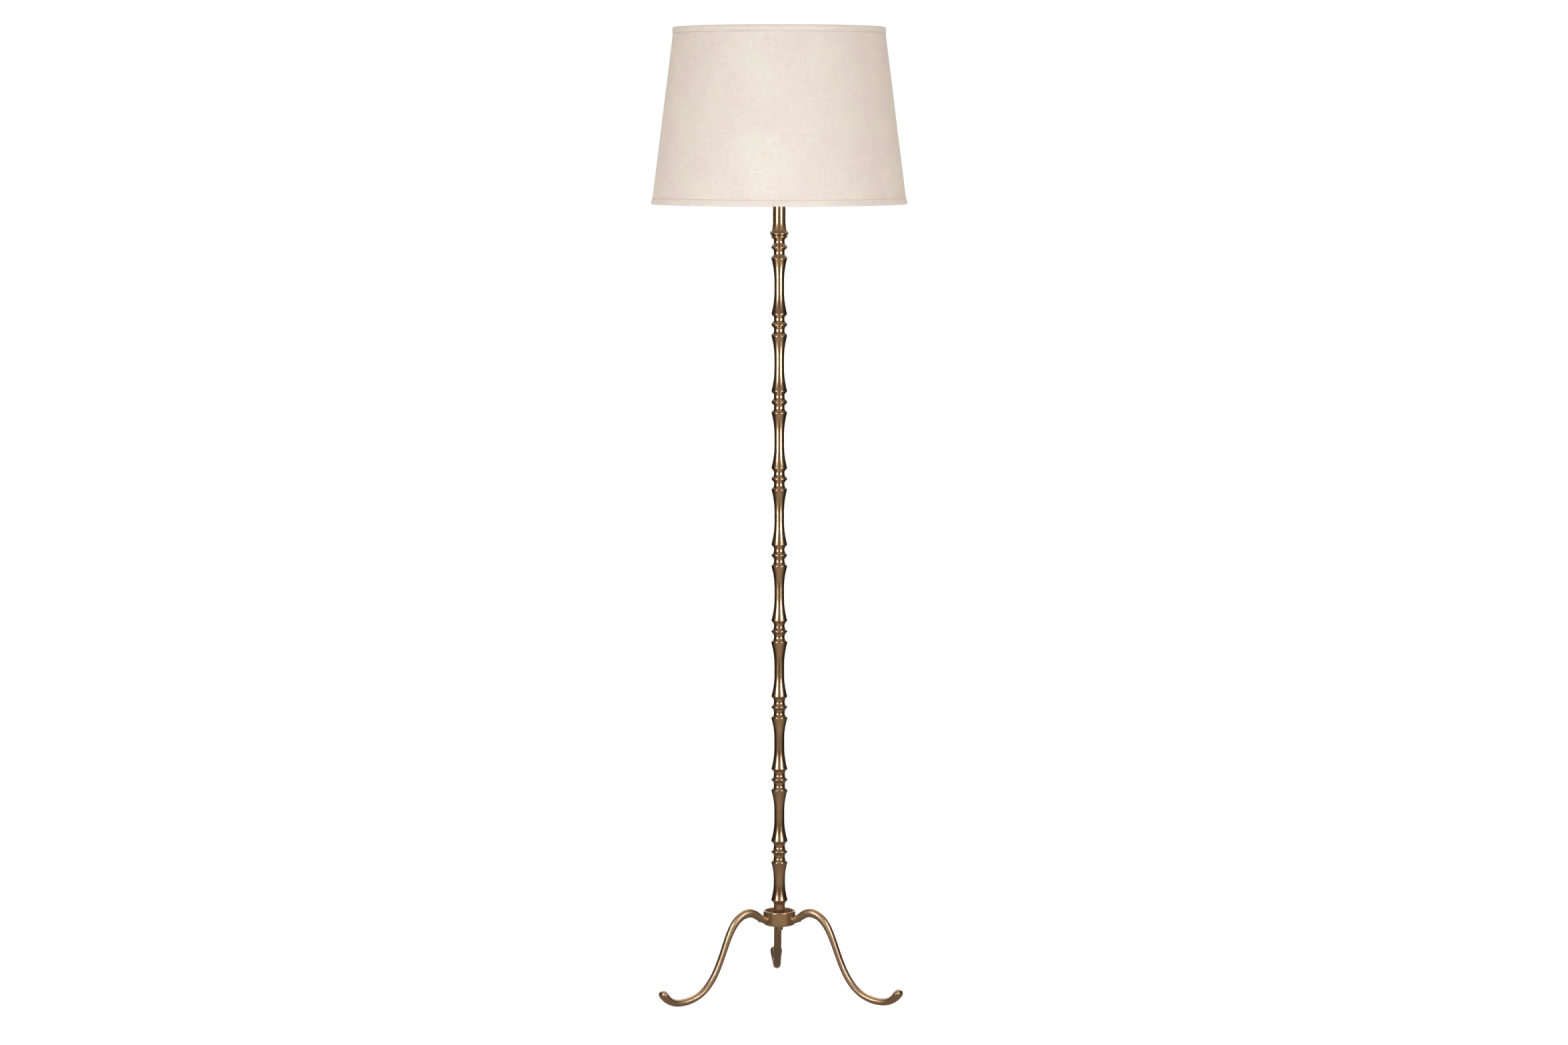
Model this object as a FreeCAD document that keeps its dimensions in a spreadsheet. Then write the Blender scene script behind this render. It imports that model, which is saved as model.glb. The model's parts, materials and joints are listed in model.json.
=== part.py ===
import FreeCAD
import Part
import Sketcher
import math
import os

# A tripod floor lamp: three swept brass legs in a cup-shaped hub, a turned brass stem of
# waisted sections and pointed beads stacked on a threaded pipe, a socket with a harp, and a
# tapered fabric shade. Z is up, the floor is z = 0, and the stem stands on the Z axis.
# The back leg points along +Y and the other two point forwards, towards -Y.

doc = FreeCAD.newDocument("TripodFloorLamp")

# ---------------------------------------------------------------- driving sizes, millimetres
SIZES = [
    # hub, the open cup that carries the legs
    ("hub_bottom", 120.0),       # underside of the cup above the floor
    ("hub_height", 24.5),
    ("hub_radius", 27.5),
    ("hub_wall", 3.0),
    ("hub_floor", 5.0),
    ("hub_rounding", 3.0),
    # legs, along one smooth curve from the hub over a crest down to the floor
    ("leg_root_height", 130.0),
    ("leg_crest_reach", 60.0),   # distances out from the Z axis
    ("leg_crest_height", 145.6),
    ("leg_sole_reach", 197.0),
    ("leg_toe_length", 33.0),    # sole to the middle of the toe's end
    ("leg_toe_rise", 17.5),
    ("leg_root_pull", 14.0),     # how far each curve runs on before it bends
    ("leg_crest_pull", 62.0),
    ("leg_sole_pull", 97.0),
    ("leg_toe_pull", 17.0),
    ("leg_toe_slope", 58.0),     # degrees
    ("leg_width", 13.4),
    ("leg_root_depth", 12.4),
    ("leg_crest_depth", 15.2),
    ("leg_shin_depth", 10.8),
    ("leg_sole_depth", 12.2),
    ("leg_toe_depth", 15.0),
    ("leg_toe_width", 20.8),
    ("leg_toe_cap", 8.0),        # length of the toe's rounded end
    ("sole_grind", 0.4),         # how much is ground off flat under each foot
    # leg screws
    ("screw_head_radius", 4.2),
    ("screw_head_height", 3.0),
    ("screw_radius", 2.45),
    ("screw_grip", 14.0),        # length in the leg
    ("screw_socket_radius", 1.6),
    ("screw_socket_depth", 1.6),
    # threaded centre pipe and what is on its lower end
    ("pipe_radius", 4.9),
    ("pipe_bore_radius", 3.5),
    ("washer_radius", 12.0),
    ("washer_height", 1.2),
    ("nut_flats", 17.0),
    ("nut_height", 3.2),
    ("bushing_radius", 6.4),
    ("bushing_bore_radius", 3.1),
    ("bushing_height", 5.0),
    ("bushing_lip", 3.0),
    # turned stem
    ("hub_collar_radius", 11.7),
    ("hub_collar_height", 13.5),
    ("groove_land", 1.02),       # half of the plain stretch in each groove
    ("lip_radius", 14.3),
    ("groove_radius", 9.7),
    ("cove_bend", 1.5),          # radius of a groove's hollow sides for each mm of its depth
    ("tip_radius", 2.2),
    ("waist_radius", 8.8),
    ("waist_land", 17.0),        # plain stretch in the middle of a long section
    ("foot_waist_radius", 9.9),
    ("foot_waist_land", 6.0),
    ("foot_neck_height", 16.07),
    ("foot_length", 66.0),       # lip to lip of the short section at the bottom
    ("lower_pitch", 126.0),      # bead to bead
    ("lower_count", 2),
    ("upper_pitch", 131.0),
    ("upper_count", 6),
    ("collar_land", 0.22),       # plain stretch under the collar's lower lip
    ("collar_rim_offset", 5.6),  # lower lip to the rim above it
    ("collar_rim_radius", 16.4),
    ("collar_notch", 0.5),       # depth of the notch between lip and rim
    ("flare_start", 4.3),        # rim to the start of the flare
    ("flare_height", 22.0),
    ("flare_radius", 13.2),
    ("neck_radius", 11.2),
    ("neck_height", 34.4),       # straight part above the flare
    # harp saddle, harp and sleeves
    ("saddle_height", 1.6),
    ("saddle_plate_radius", 14.0),
    ("saddle_width", 12.0),
    ("harp_foot_reach", 36.0),
    ("harp_wire_radius", 2.25),
    ("saddle_post_height", 12.0),
    ("harp_height", 254.0),      # saddle to the seat of the shade
    ("harp_reach", 58.0),
    ("harp_foot_height", 44.0),  # straight foot that the sleeve slides on
    ("harp_low_height", 78.0),   # where the sides become upright
    ("harp_shoulder_height", 172.0),
    ("harp_top_reach", 27.0),
    ("harp_side_bend", 55.0),
    ("harp_top_bend", 24.0),
    ("harp_seat_radius", 8.0),
    ("harp_seat_height", 7.0),
    ("stud_radius", 3.15),
    ("stud_height", 15.0),
    ("sleeve_height", 13.0),
    ("sleeve_wall", 1.1),
    # socket
    ("cap_height", 21.0),
    ("cap_neck_radius", 8.5),
    ("cap_neck_height", 5.0),
    ("cap_shoulder_height", 13.5),
    ("cap_radius", 18.2),
    ("shell_radius", 17.1),
    ("shell_height", 52.0),
    ("shell_overlap", 6.0),      # how deep the shell sits in the cap
    ("shell_wall", 0.9),
    ("shell_bead", 0.7),
    ("insulator_wall", 0.8),
    ("insulator_setback", 1.0),  # below the shell's upper edge
    ("core_height", 30.0),
    ("core_skirt", 21.0),
    ("core_lift", 14.5),         # core above the socket's lower end
    ("knob_height", 30.0),       # knob axis above the socket's lower end
    ("knob_shaft_radius", 2.0),
    ("knob_shaft_depth", 6.0),
    ("knob_hole_radius", 3.4),
    ("knob_reach", 36.0),
    ("knob_radius", 6.5),
    ("knob_length", 12.0),
    ("knob_rounding", 1.5),
    ("knob_cover", 2.0),         # thickness of the knob's closed end
    # bulb
    ("bulb_base_radius", 13.0),
    ("bulb_base_height", 23.0),
    ("bulb_contact_radius", 5.0),
    ("bulb_neck_radius", 13.6),
    ("bulb_radius", 30.0),
    ("bulb_contact_height", 4.0),
    ("bulb_neck_height", 10.0),
    ("bulb_centre_height", 54.0),
    ("bulb_shoulder", 23.5),     # degrees below the bulb's middle where the neck meets it
    ("bulb_crown_radius", 1.0),  # flat at the very top
    ("bulb_wall", 1.0),
    # shade, its wire frame and the finial
    ("shade_height", 297.0),
    ("shade_top_radius", 177.6),
    ("shade_bottom_radius", 215.4),
    ("shade_drop", 34.3),        # shade's top edge above the fitter's washer
    ("fabric_wall", 1.2),
    ("liner_wall", 0.8),
    ("trim_height", 11.0),
    ("trim_wall", 0.9),
    ("trim_edge", 1.9),          # how far the rolled edge stands out from the fabric
    ("trim_roll", 6.0),          # height of the rolled edge
    ("ring_wire_radius", 1.6),
    ("ring_setback", 5.0),       # ring wire above or below the shade's edge
    ("arm_radius", 1.6),
    ("arm_bend", 12.0),
    ("arm_rise_reach", 24.0),    # where each arm turns up, in from the ring
    ("fitter_radius", 13.0),
    ("fitter_height", 2.5),
    ("arm_root", 1.5),           # how deep each arm runs into the washer
    ("finial_base_radius", 8.5),
    ("finial_base_height", 3.0),
    ("finial_neck_radius", 4.6),
    ("finial_ball_radius", 8.0),
    ("finial_neck_top", 8.0),
    ("finial_neck_height", 2.0),
    ("finial_bore_depth", 13.5),
    # clearances between pieces
    ("rest_gap", 0.05),          # faces that rest on each other
    ("glue_gap", 0.1),           # layers of the shade
    ("thread_gap", 0.05),        # a screw or stud in its thread
    ("turning_gap", 0.1),        # a piece that turns or slides on another
    ("pipe_gap", 0.2),           # stem pieces around the pipe
    ("cut_margin", 1.0),         # how far a cutting tool runs past what it cuts
]

# Sizes that follow from the ones above, as formulas in the same sheet.
DERIVED = [
    ("pipe_hole_radius", "=pipe_radius + pipe_gap"),
    ("pipe_thread_radius", "=pipe_radius + thread_gap"),
    ("hub_inner_radius", "=hub_radius - hub_wall"),
    ("nut_corner_radius", "=nut_flats / 2 / cos(30)"),
    ("screw_seat", "=sqrt(hub_inner_radius ^ 2 - screw_head_radius ^ 2) - rest_gap"),
    ("screw_bore_radius", "=screw_radius + thread_gap"),
    ("screw_length", "=hub_radius - screw_seat + screw_grip"),
    ("stem_bottom", "=hub_bottom + hub_floor + rest_gap"),
    # a cove, a cone at 45 degrees and a rounded tip make each side of a bead or lip
    ("cove_radius", "=cove_bend * (lip_radius - groove_radius)"),
    ("cove_out", "=cove_radius * (1 - cos(45))"),
    ("cove_along", "=cove_radius * sin(45)"),
    ("tip_out", "=tip_radius * (1 - cos(45))"),
    ("tip_along", "=tip_radius * sin(45)"),
    ("cone_run", "=lip_radius - tip_out - groove_radius - cove_out"),
    ("ridge_run", "=cove_along + cone_run + tip_along"),
    ("bead_half", "=groove_land + ridge_run"),
    ("foot_start", "=stem_bottom + hub_collar_height + rest_gap"),
    ("foot_piece", "=foot_neck_height + ridge_run + foot_length + bead_half"),
    ("first_bead", "=foot_start + foot_piece + rest_gap + bead_half"),
    ("lower_length", "=lower_pitch - 4 * bead_half - 2 * rest_gap"),
    ("upper_length", "=upper_pitch - 4 * bead_half - 2 * rest_gap"),
    ("last_bead", "=first_bead + lower_count * lower_pitch + upper_count * upper_pitch"),
    ("collar_start", "=last_bead + bead_half + rest_gap"),
    ("collar_lip", "=collar_land + ridge_run"),
    ("collar_rim", "=collar_lip + collar_rim_offset"),
    ("flare_rise", "=flare_height - flare_start"),
    ("flare_drop", "=flare_radius - neck_radius"),
    ("flare_bend", "=(flare_rise ^ 2 + flare_drop ^ 2) / (2 * flare_drop)"),
    ("neck_piece", "=collar_rim + flare_height + neck_height"),
    ("saddle_start", "=collar_start + neck_piece + rest_gap"),
    ("saddle_top", "=saddle_start + saddle_height"),
    ("socket_start", "=saddle_top + rest_gap"),
    ("nut_start", "=hub_bottom - washer_height - nut_height - 2 * rest_gap"),
    ("pipe_start", "=nut_start - bushing_height + bushing_lip"),
    ("pipe_length", "=socket_start + cap_height / 2 - pipe_start"),
    ("sleeve_bore_radius", "=harp_wire_radius + turning_gap"),
    ("sleeve_radius", "=sleeve_bore_radius + sleeve_wall"),
    ("seat_top", "=saddle_top + harp_height"),
    ("fitter_start", "=seat_top + turning_gap"),
    ("fitter_bore_radius", "=stud_radius + turning_gap"),
    ("finial_bore_radius", "=stud_radius + thread_gap"),
    ("finial_rise", "=sqrt(finial_ball_radius ^ 2 - finial_neck_radius ^ 2)"),
    ("finial_top", "=finial_neck_top + finial_rise + finial_ball_radius"),
    ("finial_start", "=fitter_start + fitter_height + turning_gap"),
    ("shade_top", "=fitter_start + shade_drop"),
    ("shade_bottom", "=shade_top - shade_height"),
    ("shade_slope", "=(shade_bottom_radius - shade_top_radius) / shade_height"),
    ("shade_inside", "=fabric_wall + glue_gap + liner_wall"),
    ("cloth_start", "=trim_wall + glue_gap"),
    ("cloth_height", "=shade_height - 2 * cloth_start"),
    ("cloth_low_radius", "=shade_bottom_radius - shade_slope * cloth_start"),
    ("cloth_high_radius", "=shade_top_radius + shade_slope * cloth_start"),
    ("ring_inset", "=shade_inside + glue_gap + trim_wall + glue_gap + ring_wire_radius"),
    ("low_ring_radius", "=shade_bottom_radius - shade_slope * ring_setback - ring_inset"),
    ("high_ring_radius", "=shade_top_radius - ring_inset"),
    ("cap_inner_radius", "=cap_radius - shell_wall"),
    ("cap_bore_radius", "=pipe_radius + thread_gap"),
    ("shell_start", "=socket_start + cap_height - shell_overlap"),
    ("shell_inner_radius", "=shell_radius - shell_wall"),
    ("insulator_radius", "=shell_inner_radius - turning_gap"),
    ("insulator_bore_radius", "=insulator_radius - insulator_wall"),
    ("core_radius", "=insulator_bore_radius - turning_gap"),
    ("core_bore_radius", "=bulb_base_radius + turning_gap"),
    ("core_top", "=core_height + core_skirt"),
    ("insulator_height",
     "=shell_height - core_lift + cap_height - shell_overlap - insulator_setback"),
    ("core_start", "=socket_start + core_lift"),
    ("knob_axis_height", "=socket_start + knob_height"),
    ("knob_shaft_start", "=core_radius - knob_shaft_depth"),
    ("knob_bore_radius", "=knob_shaft_radius + thread_gap"),
    ("knob_start", "=knob_reach - knob_length"),
    ("knob_shaft_length", "=knob_reach - knob_cover - thread_gap - knob_shaft_start"),
    ("bulb_inner_radius", "=bulb_radius - bulb_wall"),
    ("crown_rise", "=sqrt(bulb_radius ^ 2 - bulb_crown_radius ^ 2)"),
    ("crown_inner_rise", "=sqrt(bulb_inner_radius ^ 2 - bulb_crown_radius ^ 2)"),
    ("bulb_crown_height", "=bulb_centre_height + crown_rise"),
    ("bulb_crown_inside", "=bulb_centre_height + crown_inner_rise"),
    ("bulb_join_out", "=bulb_radius * cos(bulb_shoulder)"),
    ("bulb_join_down", "=bulb_radius * sin(bulb_shoulder)"),
    ("bulb_inner_out", "=bulb_inner_radius * cos(bulb_shoulder)"),
    ("bulb_inner_down", "=bulb_inner_radius * sin(bulb_shoulder)"),
    ("bulb_start", "=core_start + core_height + turning_gap"),
    ("glass_start", "=bulb_start + bulb_base_height"),
]
# each kind of section narrows from its lips to its waist along an arc that ends level
for kind, waist in (("lower", "waist"), ("upper", "waist"), ("foot", "foot_waist")):
    DERIVED += [
        (kind + "_drop", f"=lip_radius - {waist}_radius"),
        (kind + "_blend", f"=({kind}_length - {waist}_land) / 2"),
        (kind + "_sum", f"=({kind}_blend ^ 2 + {kind}_drop ^ 2) / (2 * {kind}_drop)"),
        (kind + "_bend", f"={kind}_sum - tip_radius"),
        (kind + "_tip_out", f"=tip_radius * {kind}_drop / {kind}_sum"),
        (kind + "_tip_along", f"=tip_radius * {kind}_blend / {kind}_sum"),
    ]

sheet = doc.addObject("Spreadsheet::Sheet", "Sizes")
for row, (name, content) in enumerate(SIZES + DERIVED, start=1):
    sheet.set(f"A{row}", name)
    sheet.set(f"B{row}", str(content))
    sheet.setAlias(f"B{row}", name)
doc.recompute()


def size(text):
    """Return the number that an expression of the sheet's names comes to."""
    found = sheet.evalExpression(text)
    return float(getattr(found, "Value", found))


NOTHING = 1e-9    # a length or a share below this is taken for zero
names = {name for name, content in SIZES + DERIVED}
lower_count = int(size("lower_count"))
upper_count = int(size("upper_count"))
pieces = {}


def keep(label, piece):
    """Name a finished piece and remember it for writing."""
    piece.Label = label
    pieces[label] = piece
    return piece


# ---------------------------------------------------------------- turned pieces

def plane_of(body, role):
    """Find one of a body's own origin planes or axes."""
    for feature in body.Origin.OriginFeatures:
        if feature.Role == role:
            return feature
    raise ValueError(role)


def in_sheet(text):
    """Write a formula of plain names so that any object can read it."""
    words = []
    for word in text.replace("(", " ( ").replace(")", " ) ").split():
        plain = word in names
        words.append("Sizes." + word if plain else word)
    return " ".join(words)


def place_point(sketch, geometry, end, across, up):
    """Hold one corner of an outline at its radius and its height."""
    for kind, axis, text in (("DistanceX", -2, across), ("DistanceY", -1, up)):
        value = size(text)
        if abs(value) < NOTHING:
            sketch.addConstraint(Sketcher.Constraint("PointOnObject", geometry, end, axis))
            continue
        rule = Sketcher.Constraint(kind, -1, 1, geometry, end, value)
        number = sketch.addConstraint(rule)
        sketch.setExpression(f"Constraints[{number}]", in_sheet(text))


def arc_between(start, finish, radius, side):
    """Return the short arc between two points that bulges to one side of the way."""
    way = finish - start
    half = way.Length / 2
    rise = math.sqrt(max(radius ** 2 - half ** 2, 0.0))
    left = FreeCAD.Vector(-way.y, way.x, 0).normalize()
    centre = (start + finish) / 2 - left * side * rise
    # a sketch's arcs run anticlockwise, so one that bulges to the left is drawn backwards
    first, last = (start, finish) if side < 0 else (finish, start)
    circle = Part.Circle(centre, FreeCAD.Vector(0, 0, 1), radius)
    angles = [math.atan2(point.y - centre.y, point.x - centre.x) for point in (first, last)]
    if angles[1] < angles[0]:
        angles[1] += 2 * math.pi
    return Part.ArcOfCircle(circle, *angles)


def revolved(label, outline, height, across="0"):
    """Revolve a closed outline of (radius, height[, arc radius, side]) about the Z axis.

    An arc entry says how the outline reaches that corner from the one before it, and its
    side is 1 to bulge to the left of the way and -1 to the right.
    """
    body = doc.addObject("PartDesign::Body", label + "_body")
    sketch = body.newObject("Sketcher::SketchObject", label + "_outline")
    sketch.AttachmentSupport = [(plane_of(body, "XZ_Plane"), "")]
    sketch.MapMode = "FlatFace"
    corners = [FreeCAD.Vector(size(entry[0]), size(entry[1]), 0) for entry in outline]
    count = len(outline)
    ends = []
    for number, entry in enumerate(outline):
        start = corners[number - 1]
        finish = corners[number]
        if len(entry) == 4:
            edge = arc_between(start, finish, size(entry[2]), entry[3])
            ends.append((1, 2) if entry[3] < 0 else (2, 1))
        else:
            edge = Part.LineSegment(start, finish)
            ends.append((1, 2))
        sketch.addGeometry(edge, False)
    for number, entry in enumerate(outline):
        following = (number + 1) % count
        joint = Sketcher.Constraint(
            "Coincident", number, ends[number][1], following, ends[following][0])
        sketch.addConstraint(joint)
        place_point(sketch, number, ends[number][1], entry[0], entry[1])
        if len(entry) == 4:
            rule = Sketcher.Constraint("Radius", number, size(entry[2]))
            held = sketch.addConstraint(rule)
            sketch.setExpression(f"Constraints[{held}]", in_sheet(entry[2]))
    turning = body.newObject("PartDesign::Revolution", label + "_turning")
    turning.Profile = sketch
    turning.ReferenceAxis = (sketch, ["V_Axis"])
    turning.Angle = 360.0
    body.setExpression("Placement.Base.x", in_sheet(across))
    body.setExpression("Placement.Base.z", in_sheet(height))
    return body


def turned(label, outline, height, across="0"):
    """A piece that is finished once its outline is revolved."""
    return keep(label, revolved(label, outline, height, across))


def bead(number):
    """A pointed ring with half a groove on each side."""
    outline = [
        ("pipe_hole_radius", "0"),
        ("groove_radius", "0"),
        ("groove_radius", "groove_land"),
        ("groove_radius + cove_out", "groove_land + cove_along", "cove_radius", 1),
        ("lip_radius - tip_out", "bead_half - tip_along"),
        ("lip_radius - tip_out", "bead_half + tip_along", "tip_radius", -1),
        ("groove_radius + cove_out", "2 * bead_half - groove_land - cove_along"),
        ("groove_radius", "2 * bead_half - groove_land", "cove_radius", 1),
        ("groove_radius", "2 * bead_half"),
        ("pipe_hole_radius", "2 * bead_half"),
    ]
    below = min(number, lower_count)
    height = f"first_bead - bead_half + {below} * lower_pitch"
    height += f" + {number - below} * upper_pitch"
    return turned(f"stem_bead_{number + 1}", outline, height)


def section(label, height, kind, waist, neck):
    """A waisted length of the stem between two lips, with a neck below and a groove above."""
    lip = f"{neck} + ridge_run"
    top = f"{lip} + {kind}_length"
    outline = [
        ("pipe_hole_radius", "0"),
        ("groove_radius", "0"),
        ("groove_radius", neck),
        ("groove_radius + cove_out", f"{neck} + cove_along", "cove_radius", 1),
        ("lip_radius - tip_out", f"{lip} - tip_along"),
        (f"lip_radius - {kind}_tip_out", f"{lip} + {kind}_tip_along", "tip_radius", -1),
        (waist, f"{lip} + {kind}_blend", f"{kind}_bend", 1),
        (waist, f"{top} - {kind}_blend"),
        (f"lip_radius - {kind}_tip_out", f"{top} - {kind}_tip_along", f"{kind}_bend", 1),
        ("lip_radius - tip_out", f"{top} + tip_along", "tip_radius", -1),
        ("groove_radius + cove_out", f"{top} + ridge_run - cove_along"),
        ("groove_radius", f"{top} + ridge_run", "cove_radius", 1),
        ("groove_radius", f"{top} + bead_half"),
        ("pipe_hole_radius", f"{top} + bead_half"),
    ]
    return turned(label, outline, height)


def stem():
    """The stack of turned pieces from the hub up to the socket."""
    collar = [
        ("pipe_hole_radius", "0"),
        ("hub_collar_radius", "0"),
        ("hub_collar_radius", "hub_collar_height - tip_radius"),
        ("hub_collar_radius - tip_radius", "hub_collar_height", "tip_radius", -1),
        ("pipe_hole_radius", "hub_collar_height"),
    ]
    turned("hub_collar", collar, "stem_bottom")
    section("stem_foot_section", "foot_start", "foot", "foot_waist_radius", "foot_neck_height")
    for number in range(lower_count + upper_count + 1):
        bead(number)
    for number in range(lower_count + upper_count):
        below = min(number, lower_count)
        kind = "lower" if number < lower_count else "upper"
        height = f"first_bead + bead_half + rest_gap + {below} * lower_pitch"
        height += f" + {number - below} * upper_pitch"
        section(f"stem_section_{number + 1}", height, kind, "waist_radius", "groove_land")
    neck = [
        ("pipe_hole_radius", "0"),
        ("groove_radius", "0"),
        ("groove_radius", "collar_land"),
        ("groove_radius + cove_out", "collar_land + cove_along", "cove_radius", 1),
        ("lip_radius - tip_out", "collar_lip - tip_along"),
        ("lip_radius - tip_out", "collar_lip + tip_along", "tip_radius", -1),
        ("lip_radius - tip_out - collar_notch", "collar_lip + tip_along + collar_notch"),
        ("collar_rim_radius - tip_out", "collar_rim - tip_along"),
        ("collar_rim_radius - tip_out", "collar_rim + tip_along", "tip_radius", -1),
        ("flare_radius", "collar_rim + flare_start"),
        ("neck_radius", "collar_rim + flare_height", "flare_bend", 1),
        ("neck_radius", "neck_piece"),
        ("pipe_hole_radius", "neck_piece"),
    ]
    turned("stem_neck", neck, "collar_start")


def wall_outline(inner, outer, length):
    """The outline of a plain ring or tube."""
    return [(inner, "0"), (outer, "0"), (outer, length), (inner, length)]


def tube(label, inner, outer, length, height, across="0"):
    """A plain ring or tube standing on a given height."""
    return turned(label, wall_outline(inner, outer, length), height, across)


# ---------------------------------------------------------------- pieces across the stem

def lay_out(piece, degrees, reach, height):
    """Point a piece's own Z axis outwards at an angle, starting at a reach and a height."""
    outwards = FreeCAD.Vector(math.cos(math.radians(degrees)), math.sin(math.radians(degrees)), 0)
    turn = FreeCAD.Rotation(FreeCAD.Vector(0, 0, 1), outwards)
    piece.Placement = FreeCAD.Placement(FreeCAD.Vector(0, 0, 0), turn)
    for axis, share in (("x", outwards.x), ("y", outwards.y)):
        if abs(share) > NOTHING:
            piece.setExpression("Placement.Base." + axis, in_sheet(f"{share:.9f} * ( {reach} )"))
    piece.setExpression("Placement.Base.z", in_sheet(height))
    return piece


def rod(name, degrees, reach, height, radius, length):
    """A round rod that points outwards."""
    piece = doc.addObject("Part::Cylinder", name)
    piece.setExpression("Radius", in_sheet(radius))
    piece.setExpression("Height", in_sheet(length))
    return lay_out(piece, degrees, reach, height)


def post(name, across, height, radius, length):
    """An upright round post."""
    piece = doc.addObject("Part::Cylinder", name)
    piece.setExpression("Radius", in_sheet(radius))
    piece.setExpression("Height", in_sheet(length))
    piece.setExpression("Placement.Base.x", in_sheet(across))
    piece.setExpression("Placement.Base.z", in_sheet(height))
    return piece


def cut(label, base, tools):
    """Take tools away from a piece and keep what is left under the piece's name."""
    tool = tools[0]
    if len(tools) > 1:
        tool = doc.addObject("Part::MultiFuse", label + "_tools")
        tool.Shapes = tools
    piece = doc.addObject("Part::Cut", label + "_cut")
    piece.Base = base
    piece.Tool = tool
    return keep(label, piece)


# ---------------------------------------------------------------- hub and fasteners

LEG_ANGLES = {"back": 90, "left": 210, "right": 330}


def hub():
    """The open cup, its leg screws and what clamps the stem's pipe to it."""
    outline = [
        ("pipe_hole_radius", "0"),
        ("hub_radius - hub_rounding", "0"),
        ("hub_radius", "hub_rounding", "hub_rounding", -1),
        ("hub_radius", "hub_height - hub_wall / 2"),
        ("hub_radius - hub_wall / 2", "hub_height", "hub_wall / 2", -1),
        ("hub_inner_radius", "hub_height - hub_wall / 2", "hub_wall / 2", -1),
        ("hub_inner_radius", "hub_floor"),
        ("pipe_hole_radius", "hub_floor"),
    ]
    blank = revolved("hub_blank", outline, "hub_bottom")
    holes = []
    for side, degrees in LEG_ANGLES.items():
        hole = rod("hub_hole_" + side, degrees, "0", "leg_root_height",
                   "screw_radius + pipe_gap", "hub_radius + hub_wall")
        holes.append(hole)
    cut("hub_cup", blank, holes)
    for side, degrees in LEG_ANGLES.items():
        screw(side, degrees)
    tube("clamp_washer", "pipe_hole_radius", "washer_radius", "washer_height",
         "hub_bottom - washer_height - rest_gap")
    block = doc.addObject("Part::Prism", "nut_block")
    block.Polygon = 6
    block.setExpression("Circumradius", in_sheet("nut_corner_radius"))
    block.setExpression("Height", in_sheet("nut_height"))
    block.setExpression("Placement.Base.z", in_sheet("nut_start"))
    bore = post("nut_bore", "0", "nut_start - cut_margin", "pipe_thread_radius",
                "nut_height + 2 * cut_margin")
    cut("clamp_nut", block, [bore])
    tube("centre_pipe", "pipe_bore_radius", "pipe_radius", "pipe_length", "pipe_start")
    bushing = [
        ("bushing_bore_radius", "0"),
        ("bushing_radius", "0"),
        ("bushing_radius", "bushing_height"),
        ("pipe_thread_radius", "bushing_height"),
        ("pipe_thread_radius", "bushing_lip"),
        ("bushing_bore_radius", "bushing_lip"),
    ]
    turned("cord_bushing", bushing, "pipe_start - bushing_lip - rest_gap")


def screw(side, degrees):
    """A leg screw: it points outwards, with its head inside the cup."""
    outline = [
        ("0", "screw_socket_depth - screw_head_height"),
        ("screw_socket_radius", "screw_socket_depth - screw_head_height"),
        ("screw_socket_radius", "0 - screw_head_height"),
        ("screw_head_radius", "0 - screw_head_height"),
        ("screw_head_radius", "0"),
        ("screw_radius", "0"),
        ("screw_radius", "screw_length"),
        ("0", "screw_length"),
    ]
    piece = turned("leg_screw_" + side, outline, "leg_root_height")
    lay_out(piece, degrees, "screw_seat", "leg_root_height")


# ---------------------------------------------------------------- legs

def bezier(ends, share):
    """Return the point and the direction of a cubic curve at a share of its way."""
    first, second, third, fourth = ends
    left = 1 - share
    point = (first * left ** 3 + second * (3 * left ** 2 * share)
             + third * (3 * left * share ** 2) + fourth * share ** 3)
    way = ((second - first) * left ** 2 + (third - second) * (2 * left * share)
           + (fourth - third) * share ** 2)
    return point, way.normalize()


def ease(start, finish, share):
    """Go smoothly from one size to another."""
    return start + (finish - start) * share * share * (3 - 2 * share)


SHIN_STEPS = 12                                # sections between the crest and the sole
CAP_SHARES = (0.35, 0.62, 0.82, 0.94, 0.99)    # sections along the toe's rounded end


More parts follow.
